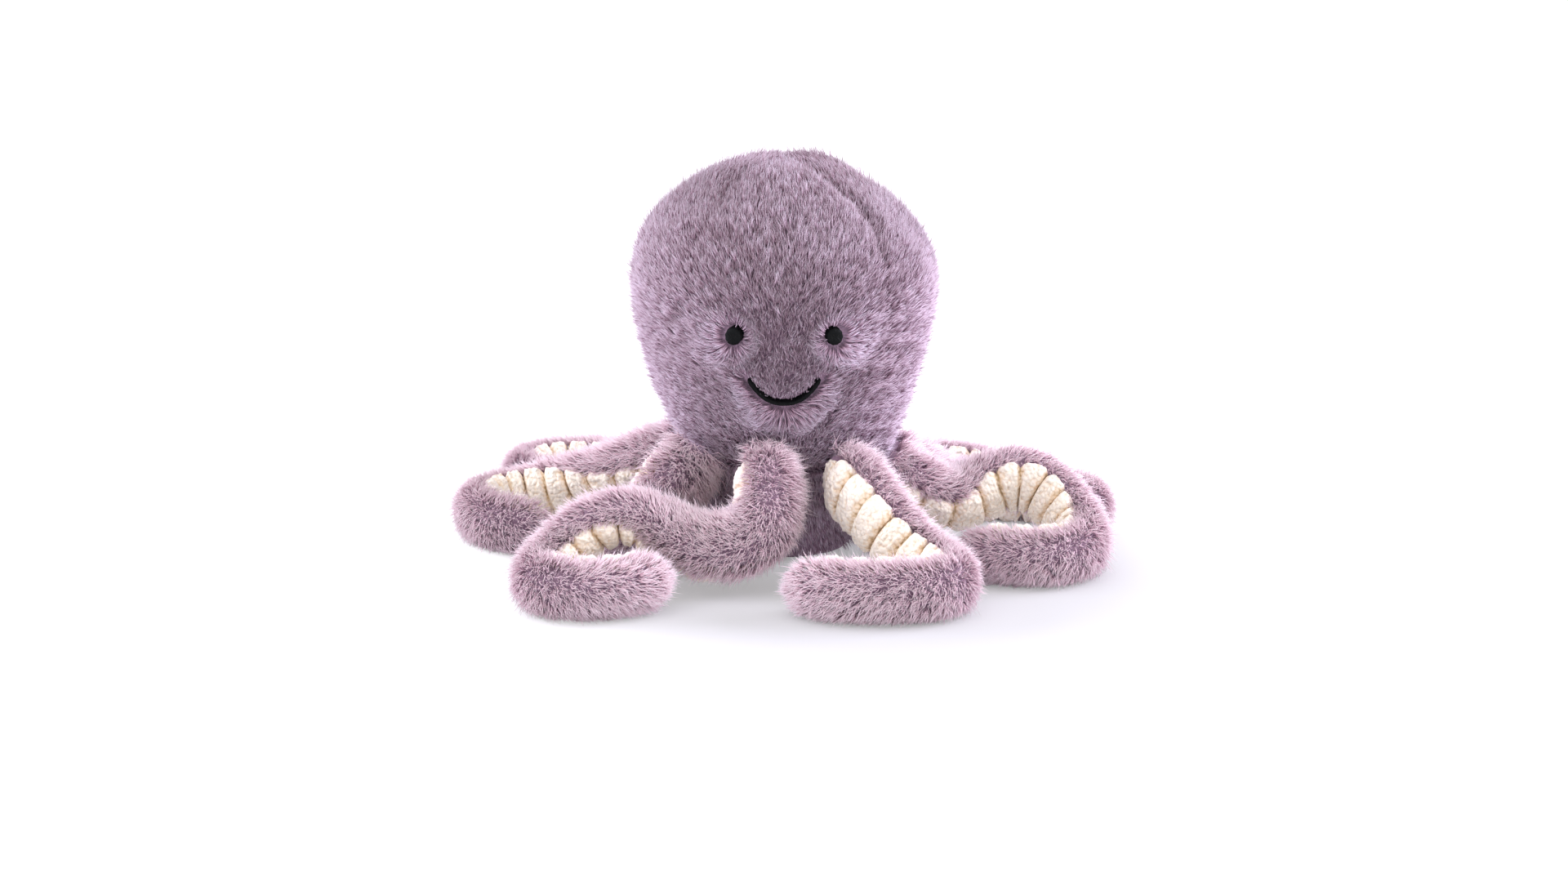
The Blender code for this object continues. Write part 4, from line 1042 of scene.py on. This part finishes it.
# %% Routes of the arms
ROUTE_SHARES = {
    "front_arm": (0.405, (
        (0.02, -0.14, 0.80, 160, -10), (0.00, -0.21, 0.56, 142, -10), (-0.06, -0.25, 0.36, 124, -14),
        (-0.15, -0.26, 0.26, 112, -24), (-0.26, -0.26, 0.28, 104, -42), (-0.38, -0.25, 0.44, 105, -66),
        (-0.49, -0.24, 0.67, 200, -86), (-0.62, -0.25, 0.70, 275, -66), (-0.75, -0.27, 0.52, 298, -50),
        (-0.86, -0.32, 0.22, 330, -20), (-0.92, -0.43, 0.00, 5, 0), (-0.88, -0.545, 0.00, 45, 8),
        (-0.76, -0.60, 0.00, 76, 16), (-0.62, -0.58, 0.00, 92, 22), (-0.50, -0.52, 0.00, 97, 22),
        (-0.40, -0.44, 0.10, 105, 15))),
    "front_right_arm": (0.34, (
        (0.11, -0.21, 0.72, 235, -12), (0.20, -0.29, 0.42, 232, -6), (0.30, -0.37, 0.15, 228, 0),
        (0.38, -0.45, 0.00, 210, 5), (0.42, -0.56, 0.00, 165, 5), (0.36, -0.66, 0.00, 110, 10),
        (0.20, -0.70, 0.00, 90, 10), (0.02, -0.69, 0.00, 85, 12), (-0.14, -0.65, 0.00, 78, 15),
        (-0.23, -0.57, 0.05, 60, 10))),
    "right_arm": (0.52, (
        (0.18, -0.03, 0.52, 275, -64), (0.28, 0.00, 0.54, 271, -50), (0.39, 0.03, 0.76, 267, -34),
        (0.51, 0.04, 0.92, 264, -22), (0.64, 0.00, 0.78, 256, -18), (0.74, -0.11, 0.34, 235, -14),
        (0.79, -0.26, 0.00, 185, 0), (0.72, -0.42, 0.00, 115, 15), (0.57, -0.47, 0.00, 92, 25),
        (0.40, -0.44, 0.00, 82, 25), (0.25, -0.36, 0.00, 70, 20))),
    "back_right_arm": (0.50, (
        (0.16, 0.14, 0.34, 280, -20), (0.28, 0.20, 0.00, 272, 0), (0.44, 0.20, 0.00, 268, 5),
        (0.60, 0.17, 0.00, 265, 8), (0.74, 0.11, 0.00, 255, 10), (0.84, 0.01, 0.00, 225, 8),
        (0.86, -0.12, 0.00, 185, 5), (0.80, -0.22, 0.00, 150, 5))),
    "back_arm": (0.55, (
        (0.14, 0.21, 0.40, 288, -20), (0.28, 0.29, 0.05, 275, 0), (0.44, 0.32, 0.00, 270, 3),
        (0.58, 0.29, 0.00, 262, 5), (0.72, 0.23, 0.00, 250, 5), (0.80, 0.17, 0.00, 240, 5))),
    "back_left_arm": (0.50, (
        (-0.18, 0.19, 0.34, 262, -15), (-0.33, 0.25, 0.05, 268, 0), (-0.50, 0.31, 0.00, 270, 5),
        (-0.66, 0.36, 0.00, 272, 5), (-0.82, 0.37, 0.00, 285, 6), (-0.94, 0.31, 0.00, 322, 6),
        (-0.98, 0.19, 0.00, 5, 6), (-0.93, 0.08, 0.00, 48, 5), (-0.81, 0.03, 0.00, 85, 2))),
    "left_arm": (0.40, (
        (-0.25, 0.04, 0.62, 258, -65), (-0.38, 0.08, 0.40, 266, -34), (-0.52, 0.11, 0.20, 270, 2),
        (-0.66, 0.105, 0.00, 276, 14), (-0.78, 0.065, 0.00, 300, 15), (-0.85, -0.045, 0.00, 345, 10),
        (-0.82, -0.20, 0.00, 50, 5), (-0.72, -0.31, 0.00, 80, 10), (-0.60, -0.35, 0.00, 92, 12),
        (-0.51, -0.35, 0.00, 96, 8))),
    "front_left_arm": (0.36, (
        (-0.09, -0.08, 0.70, 160, -15), (-0.16, -0.125, 0.40, 150, -10), (-0.23, -0.15, 0.16, 132, -5),
        (-0.30, -0.15, 0.03, 100, 0), (-0.37, -0.115, 0.00, 65, 0), (-0.41, -0.05, 0.00, 28, 3),
        (-0.415, 0.03, 0.00, 0, 5), (-0.385, 0.105, 0.00, 335, 5), (-0.32, 0.155, 0.00, 305, 5),
        (-0.235, 0.175, 0.00, 280, 5))),
}
print("places on each route", [len(rows) for _, rows in ROUTE_SHARES.values()])

# %% Smooth curves, and the size of an arm
ARM_WIDTH = 0.0270
ARM_THICKNESS = 0.0225
ARM_TIP_WIDTH = 0.0250
ARM_TIP_THICKNESS = 0.0205
GATHER_LENGTH = 0.013
GATHER_SHARE = 0.80


def smooth_curve(points, count):
    """A Catmull-Rom curve through the rows of points, sampled evenly between rows."""
    padded = np.vstack([2 * points[0] - points[1], points, 2 * points[-1] - points[-2]])
    place = np.linspace(0, len(points) - 1, count)
    index = np.minimum(place.astype(int), len(points) - 2)
    t = (place - index)[:, None]
    a, b, c, d = padded[index], padded[index + 1], padded[index + 2], padded[index + 3]
    return (2 * b + (c - a) * t + (2 * a - 5 * b + 4 * c - d) * t ** 2 + (3 * b - a - 3 * c + d) * t ** 3) / 2


def evened(values, reach):
    """Rows of values, each the mean of its neighbours within reach; the two ends stay put."""
    before = 2 * values[:1] - values[reach:0:-1]
    after = 2 * values[-1:] - values[-2:-reach - 2:-1]
    total = np.cumsum(np.vstack([values[:1] * 0, before, values, after]), axis=0)
    width = 2 * reach + 1
    return (total[width:] - total[:-width]) / width


def arm_half_sizes(distance, length):
    """Half width and half thickness of an arm: gathered in at its root and slimmer to its tip."""
    share = np.clip(distance / length, 0, 1)
    width = ARM_WIDTH + (ARM_TIP_WIDTH - ARM_WIDTH) * share
    thickness = ARM_THICKNESS + (ARM_TIP_THICKNESS - ARM_THICKNESS) * share
    rise = np.clip(distance / GATHER_LENGTH, 0, 1)
    gather = GATHER_SHARE + (1 - GATHER_SHARE) * np.sin(rise * math.pi / 2)
    return width / 2 * gather, thickness / 2 * gather


print("an arm is gathered in to %.1f mm at its root" % (2e3 * arm_half_sizes(0.0, 1.0)[0]))

# %% The middle line of an arm
ARM_REACH = 0.100
FLAT_DEPTH = 0.0005
ROUTE_SAMPLES = 480
EVENING_SHARE = 0.9
REST_EVENING = ROUTE_SAMPLES // 16
SETTLING_ROUNDS = 5


def arm_route(root, rows):
    """The middle line of an arm and the way its terry faces, at many places along it.

    The line's height above the floor follows from how its section stands, and that from the line's
    own course, so the two are worked out in turn until they settle."""
    rows = np.array(rows)
    facing = np.radians(rows[:, 3:5])
    terry = np.stack([np.cos(facing[:, 0]) * np.cos(facing[:, 1]),
                      np.sin(facing[:, 0]) * np.cos(facing[:, 1]), np.sin(facing[:, 1])], axis=1)
    places = np.vstack([[0, 0], rows[:, :2] * ARM_REACH])
    heights = np.append(1, rows[:, 2])
    facings = np.vstack([terry[:1], terry])
    dense = smooth_curve(np.column_stack([places, heights, facings]), ROUTE_SAMPLES)
    dense = evened(dense, int(ROUTE_SAMPLES * EVENING_SHARE / len(rows)))
    lift = dense[:, 2]
    height = ARM_WIDTH / 2 + lift * (root[2] - ARM_WIDTH / 2)
    for _ in range(SETTLING_ROUNDS):
        line = np.column_stack([dense[:, :2] + root[:2], height])
        along = unit(np.gradient(line, axis=0))
        face = unit(dense[:, 3:6] - along * np.sum(dense[:, 3:6] * along, axis=1, keepdims=True))
        side = np.cross(along, face)
        distance = np.append(0, np.cumsum(np.linalg.norm(np.diff(line, axis=0), axis=1)))
        half_width, half_thickness = arm_half_sizes(distance, distance[-1])
        rest = np.hypot(half_width * side[:, 2], half_thickness * face[:, 2])
        low = evened(rest[:, None], REST_EVENING)[:, 0] - FLAT_DEPTH
        height = low + lift * (root[2] - low)
    return {"line": line, "along": along, "face": face, "distance": distance, "length": distance[-1]}


def frames_at(route, distance):
    """Places, directions, terry facings and sides at distances along a route, straight before it."""
    def read(values):
        """The route's values at the distances, in a straight line from one sample to the next."""
        axes = [np.interp(distance, route["distance"], values[:, axis]) for axis in range(3)]
        return np.stack(axes, axis=-1)
    along = unit(read(route["along"]))
    face = read(route["face"])
    face = unit(face - along * np.sum(face * along, axis=-1, keepdims=True))
    place = read(route["line"]) + along * np.minimum(distance, 0)[..., None]
    return place, along, face, np.cross(along, face)


hinges = {joint["name"]: np.array(joint["pos_m"], float) for joint in frame["joints"]}
routes = {}
for arm, (bend_share, rows) in ROUTE_SHARES.items():
    route = arm_route(hinges[f"{arm}_lift"], rows)
    route["bend"] = bend_share * route["length"]
    at_bend = frames_at(route, np.array([route["bend"]]))[0][0]
    routes[arm] = route
    miss = np.linalg.norm(at_bend - hinges[f"{arm}_curl"])
    print(arm, "%.0f mm long, bends at %.0f, misses its hinge by %.2f mm"
          % (route["length"] * 1e3, route["bend"] * 1e3, miss * 1e3))

# %% [markdown]
# ## The surface of an arm
#
# Across the arm the section is an oval a little squarer than an ellipse. At the tip it closes in
# a dome. A curve with a bevel could draw that. One function was chosen instead, because it also
# places the backing, the roots of the pile and the terry, each with its own depth under the
# surface of the solids.

# %% Points and directions on an arm's surface
ARM_SKIN_DEPTH = 0.0046
DOME_LENGTH = 0.0100
DOME_CLOSED_SHARE = 0.9999
TIP_DEPTH = 0.0036
ROOT_FULLNESS = 0.0022
ROOT_BULGE_REACH = 0.025
SECTION_POWER_SHARE = 0.86
ARM_STEP = 0.0003
ARM_TURN_DEGREES = 0.8


def section(degrees):
    """Shares of the half thickness and the half width round a section, 0 where the terry faces.

    They are sign(cos t)|cos t|^p and sign(sin t)|sin t|^p. A p below 1 makes the oval squarer."""
    turn = np.radians(degrees)
    out = np.sign(np.cos(turn)) * np.abs(np.cos(turn)) ** SECTION_POWER_SHARE
    return out, np.sign(np.sin(turn)) * np.abs(np.sin(turn)) ** SECTION_POWER_SHARE


def arm_place(route, distance, degrees, depth):
    """Points of an arm at distances along it and degrees round it, at a depth.

    Each is the middle line plus the section's shares of the arm's thickness and width. Both fall
    over the tip as sqrt(1 - s^2). Near its root the arm is fuller than its solids, because the
    pile hides the gather there."""
    half_width, half_thickness = arm_half_sizes(distance, route["length"])
    past = distance - (route["length"] - TIP_DEPTH - DOME_LENGTH)
    dome = np.sqrt(1 - DOME_CLOSED_SHARE * np.clip(past / DOME_LENGTH, 0, 1) ** 2)
    place, _, face, side = frames_at(route, distance)
    out, across = section(degrees)
    fuller = ROOT_FULLNESS * fade(distance, ROOT_BULGE_REACH)
    thickness = (half_thickness + fuller - depth) * dome * out
    width = (half_width + fuller - depth) * dome * across
    return place + thickness[..., None] * face + width[..., None] * side


def arm_directions(route, distance, degrees, depth):
    """The outward normal of an arm's surface, and the directions along and round it."""
    ahead, behind = (arm_place(route, distance + step, degrees, depth) for step in (ARM_STEP, -ARM_STEP))
    left, right = (arm_place(route, distance, degrees + turn, depth)
                   for turn in (ARM_TURN_DEGREES, -ARM_TURN_DEGREES))
    along, round_it = ahead - behind, left - right
    return unit(np.cross(round_it, along)), unit(along), unit(round_it)


print("at 45 degrees the section has %.2f of its thickness, an ellipse 0.71" % section(45.0)[0])

# %% [markdown]
# ## The backing of the arms
#
# The backing is one stuffed tube, cut in three: the upper length from the body, the bend round the
# elbow, and the lower length, which rides on the outer solid. The cuts lie in grooves of the terry,
# where they don't show.

# %% Where each arm is cut, and what carries each length
PARTS = ("upper", "bend", "lower")
HALVES = {"upper": "inner", "lower": "outer"}
RIB_PITCH = 0.0112
FIRST_GROOVE = 0.0030
BEFORE_BEND = 0.013
AFTER_BEND = 0.015
ROOT_TUCK = -0.006
ROOT_TURN = (-0.002, 0.010)


def nearest_groove(distance):
    """The groove between two ribs of terry that lies nearest to a distance along an arm."""
    return FIRST_GROOVE + RIB_PITCH * np.round((distance - FIRST_GROOVE) / RIB_PITCH)


def arm_spans(route):
    """The upper, bend and lower lengths of an arm, as the distances where each begins and stops."""
    before = nearest_groove(route["bend"] - BEFORE_BEND)
    after = nearest_groove(route["bend"] + AFTER_BEND)
    end = route["length"] - TIP_DEPTH
    return {"upper": (ROOT_TUCK, before), "bend": (before, after), "lower": (after, end)}


def carry(piece, arm, part):
    """Hangs the lower length of an arm on its outer body, and bakes the place of the other lengths into their
    mesh.
    """
    route = routes[arm]
    inner, outer = f"{arm}_inner", f"{arm}_outer"
    if part == "lower":
        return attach(piece, outer)
    if part == "bend":
        span, bodies = arm_spans(route)["bend"], (inner, outer)
    else:
        span, bodies = ROOT_TURN, ("body", inner)
    start, end = frames_at(route, np.array(span))[0].tolist()
    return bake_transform(piece)


cuts = [stop * 1e3 for _, stop in arm_spans(routes["front_arm"]).values()]
print("the front arm's lengths end at", np.round(cuts), "mm")

# %% The stuffed tubes
SKIN_STEP = 0.0016
SKIN_COLUMNS = 36
TIP_RINGS_FROM = 0.0035
TIP_RINGS = np.array([0.003, 0.0018, 0.0009, 0.0003, 0])
ARM_LUMP = 0.0004
ARM_LUMP_SIZE = 0.024


def arm_backing(arm, part):
    """One length of an arm's backing: rings of its section, a little lumpy with its stuffing."""
    route = routes[arm]
    start, stop = arm_spans(route)[part]
    distance = np.linspace(start, stop, max(4, int((stop - start) / SKIN_STEP)))
    if part == "lower":
        distance = np.append(distance[distance < stop - TIP_RINGS_FROM], stop - TIP_RINGS)
    degrees = np.arange(SKIN_COLUMNS) * 360 / SKIN_COLUMNS
    distance, degrees = np.meshgrid(distance, degrees, indexing="ij")
    rings = arm_place(route, distance, degrees, ARM_SKIN_DEPTH)
    normal, _, _ = arm_directions(route, distance, degrees, ARM_SKIN_DEPTH)
    lump = ripples(rings.reshape(-1, 3), ARM_LUMP_SIZE, 31)[0].reshape(distance.shape)
    rings = rings + normal * (lump * ARM_LUMP)[..., None]
    piece = carry(ring_body(f"{arm}_{part}_backing", rings, BACKING), arm, part)
    if part in HALVES:
        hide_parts(f"{arm}_{HALVES[part]}_fur", f"{arm}_{HALVES[part]}_filling")
    return len(piece.data.polygons)


count = 0
for arm in routes:
    for part in PARTS:
        count += arm_backing(arm, part)
print("backing", count, "triangles")

# %% [markdown]
# ## The terry
#
# The terry is chenille cloth with fat ribs across the arm, about 11 mm apart. Each rib is a row
# of nubs that stand up out of a narrow groove. A bump map could draw them, but the ribs are tall
# enough to show against the floor, so they are in the mesh. The strip's edges go down into the
# seams with the plush, and the longer pile falls over them.

# %% Ribs, nubs and loops of chenille
GROOVE_WIDTH_SHARE = 0.62
RIB_ROUNDNESS_SHARE = 0.62
RIB_WAVER, RIB_WAVER_SIZE, RIB_WAVER_END = 0.0007, 0.014, 0.004
NUB_SIZE = 0.0040
FINE_SIZE = 0.0016
NUB_WAVES = 24


def chenille_relief(flat, distance, ends, seed):
    """Height of the ribs from 0 to 1 at places on an arm, and of the nubs and fine loops on them.

    A rib is |sin|^q of the distance along the arm, widened by a share. It wavers, but not where a
    length of the arm ends, so that one length meets the next."""
    spots = flat.reshape(-1, 3)
    kinds = ((RIB_WAVER_SIZE, seed), (NUB_SIZE, seed + 1, NUB_WAVES), (FINE_SIZE, seed + 2, NUB_WAVES))
    wave, nub, fine = (ripples(spots, *kind)[0].reshape(distance.shape) for kind in kinds)
    shift = wave * RIB_WAVER * np.clip((distance - ends[0]) / RIB_WAVER_END, 0, 1)
    shift = shift * np.clip((ends[1] - distance) / RIB_WAVER_END, 0, 1)
    phase = (distance + shift - FIRST_GROOVE) / RIB_PITCH
    rib = np.clip(np.abs(np.sin(math.pi * phase)) / GROOVE_WIDTH_SHARE, 0, 1) ** RIB_ROUNDNESS_SHARE
    return rib, nub, fine


print("ribs %.1f mm apart, nubs %.1f, loops %.1f" % (RIB_PITCH * 1e3, NUB_SIZE * 1e3, FINE_SIZE * 1e3))

# %% The terry strips
TERRY_STEP = 0.0005
TERRY_COLUMNS = 46
TERRY_UNDER_COLUMNS = 6
TERRY_EDGE_DEGREES = 70.0
SLIM_SHARES = {"front_left_arm": 0.84}
TERRY_START = -0.0040
TERRY_TIP_GAP = 0.0012
TERRY_TOP_DEPTH = -0.0012
TERRY_MIDDLE_DEPTH = 0.0015
TERRY_UNDER_DEPTH = ARM_SKIN_DEPTH + 0.0010
NEAR_TIP, NEAR_TIP_REACH, TIP_NARROWER = 0.004, 0.012, 0.45
NEAR_ROOT, NEAR_ROOT_REACH, ROOT_NARROWER, ROOT_SUNK = 0.006, 0.010, 0.35, 0.0034
GROOVE_DEPTH = 0.0034
NUB_HEIGHT, NUB_EDGE_START, NUB_EDGE_GAIN = 0.00022, 0.4, 2
FINE_HEIGHT = 0.00030
RAGGED_BY_NUB, RAGGED_BY_GROOVE = 0.06, 0.16
EDGE_SHARE, EDGE_DEPTH = 0.16, 0.0042
SHADE, SHADE_RIB, SHADE_NUB, SHADE_FINE = 0.16, 0.68, 0.08, 0.14


def terry_strip(arm, part, seed):
    """One length of the terry: ribs and nubs on top, edges turned in, and a plain underside.

    Its depth is that of its top, plus the grooves, the edges turned in and the sunk root, less
    the nubs and loops on the ribs."""
    route = routes[arm]
    start, stop = arm_spans(route)[part]
    start = max(start, TERRY_START)
    stop = min(stop, route["length"] - TIP_DEPTH - TERRY_TIP_GAP)
    distance = np.linspace(start, stop, int((stop - start) / TERRY_STEP))[:, None]
    across = np.linspace(-1, 1, TERRY_COLUMNS)[None, :]
    near_tip = np.clip(1 - (route["length"] - distance - NEAR_TIP) / NEAR_TIP_REACH, 0, 1)
    near_root = np.clip((NEAR_ROOT - distance) / NEAR_ROOT_REACH, 0, 1)
    narrower = 1 - TIP_NARROWER * near_tip ** 2 - ROOT_NARROWER * near_root
    edge = TERRY_EDGE_DEGREES * SLIM_SHARES.get(arm, 1) * narrower
    degrees = across * edge
    distance = distance + 0 * degrees
    flat = arm_place(route, distance, degrees, TERRY_MIDDLE_DEPTH)
    rib, nub, fine = chenille_relief(flat, distance, (start, stop), seed)
    ragged = np.abs(across) + nub * RAGGED_BY_NUB + (1 - rib) * RAGGED_BY_GROOVE
    turned_in = np.clip((ragged - (1 - EDGE_SHARE)) / EDGE_SHARE, 0, 1) ** 2
    depth = TERRY_TOP_DEPTH + GROOVE_DEPTH * (1 - rib) + EDGE_DEPTH * turned_in + ROOT_SUNK * near_root
    rough = 1 + NUB_EDGE_GAIN * np.clip(np.abs(across) / NUB_EDGE_START - 1, 0, 1)
    depth = depth - rib * (nub * NUB_HEIGHT * rough + fine * FINE_HEIGHT)
    top = arm_place(route, distance, degrees, depth)
    under = np.linspace(1, -1, TERRY_UNDER_COLUMNS)[None, :] * edge
    under = arm_place(route, distance[:, :1] + 0 * under, under, TERRY_UNDER_DEPTH)
    # The shade attribute paints shade down in the grooves and light on the ribs, nubs and loops.
    shade = np.clip(SHADE + rib * SHADE_RIB + nub * SHADE_NUB + fine * SHADE_FINE, 0, 1)
    shade = np.concatenate([shade, np.zeros(under.shape[:2])], axis=1)
    rings = np.concatenate([top, under], axis=1)
    piece = carry(ring_body(f"{arm}_{part}_terry", rings, CHENILLE, shade), arm, part)
    if part in HALVES:
        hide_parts(f"{arm}_{HALVES[part]}_terry")
    return len(piece.data.polygons)


count = 0
for number, arm in enumerate(routes):
    for place, part in enumerate(PARTS):
        count += terry_strip(arm, part, 300 + number * 10 + place * 3)
print("terry", count, "triangles")

# %% [markdown]
# ## The arms' pile
#
# The pile of the arms is longer than the head's. It runs towards the tip and hangs down, and it
# bulges over both edges of the terry. On the floor it is pressed flat. It is combed by the same
# function as the head's, with its own length, lean and clumps.

# %% Pile along each arm
PILE_EDGE_DEGREES = 65.0
ARM_PILE_LENGTH = 0.0078
ARM_LOCKS_PER_MM2 = 3.0
ARM_LOCK_HALF_WIDTH = 0.00017
ARM_LEAN_DEGREES = 30.0
ARM_CLUMP_SIZE = 0.0036
ARM_CLUMP_REACH = 1.4
ARM_LOOSE = 0.60
LAST_ROOT_GAP = 0.0002
ARC_SAMPLES = 500
ROOT_BULGE_SHARE = 0.30
ARM_HANG = 0.35
EDGE_REACH = 0.0028
EDGE_NAP, EDGE_RISE = 0.4, 0.10
ARM_PATCH_SIZE = 0.030
ARM_TONE, ARM_TONE_SPREAD, ARM_GAP_SHADE, ARM_TONE_PATCH = 0.49, 0.15, 0.10, 0.12


def round_degrees(shares, edge, half_width, half_thickness):
    """Angles round a section whose arc lengths, edge to edge of the plush, are the given shares."""
    angle = np.linspace(edge, 360 - edge, ARC_SAMPLES)
    out, across = section(angle)
    arc = np.append(0, np.cumsum(np.hypot(np.diff(half_thickness * out), np.diff(half_width * across))))
    return np.interp(shares * arc[-1], arc, angle), arc[-1]


def arm_pile(arm, part, seed):
    """The pile of one length: locks rooted in the backing, napped towards the tip and down."""
    route = routes[arm]
    start, stop = arm_spans(route)[part]
    generator = np.random.default_rng(seed)
    half_width, half_thickness = ARM_WIDTH / 2 - ARM_SKIN_DEPTH, ARM_THICKNESS / 2 - ARM_SKIN_DEPTH
    edge = PILE_EDGE_DEGREES * SLIM_SHARES.get(arm, 1)
    arc = round_degrees(np.zeros(1), edge, half_width, half_thickness)[1]
    count = int(arc * (stop - start) * 1e6 * ARM_LOCKS_PER_MM2)
    distance = generator.uniform(start, stop - LAST_ROOT_GAP, count)
    degrees, _ = round_degrees(generator.uniform(0, 1, count), edge, half_width, half_thickness)
    depth = np.full(count, ARM_SKIN_DEPTH + ROOT_DEPTH)
    roots = arm_place(route, distance, degrees, depth)
    normal, along, round_it = arm_directions(route, distance, degrees, depth)
    past_edge = (np.minimum(degrees, 360 - degrees) - edge) * np.radians(1) * half_width
    over = fade(past_edge, EDGE_REACH)
    towards = -round_it * np.sign(180 - degrees)[:, None]
    nap = along + towards * (over * EDGE_NAP)[:, None]
    nap[:, 2] -= ARM_HANG * (1 - over)
    lean = math.radians(ARM_LEAN_DEGREES) - over * EDGE_RISE
    length = ARM_PILE_LENGTH * (1 + ROOT_BULGE_SHARE * fade(distance, ROOT_BULGE_REACH))
    middles, tips, clump = comb(roots, normal, nap, length, lean, ARM_CLUMP_SIZE, ARM_CLUMP_REACH,
                                seed + 1, loose=ARM_LOOSE)
    # Darker in the gaps between clumps: painted shade.
    tone = ARM_TONE + generator.normal(0, ARM_TONE_SPREAD, count) - clump * ARM_GAP_SHADE
    tone = tone + ripples(roots, ARM_PATCH_SIZE, 78)[0] * ARM_TONE_PATCH
    width = np.abs(ARM_LOCK_HALF_WIDTH * (1 + generator.normal(0, LOCK_WIDTH_SPREAD, count)))
    piece = carry(pile(f"{arm}_{part}_pile", roots, middles, tips, width, tone, ARM_PILE), arm, part)
    return count


count = 0
for number, arm in enumerate(routes):
    for place, part in enumerate(PARTS):
        count += arm_pile(arm, part, 500 + number * 20 + place * 5)
print("arms", count, "locks")
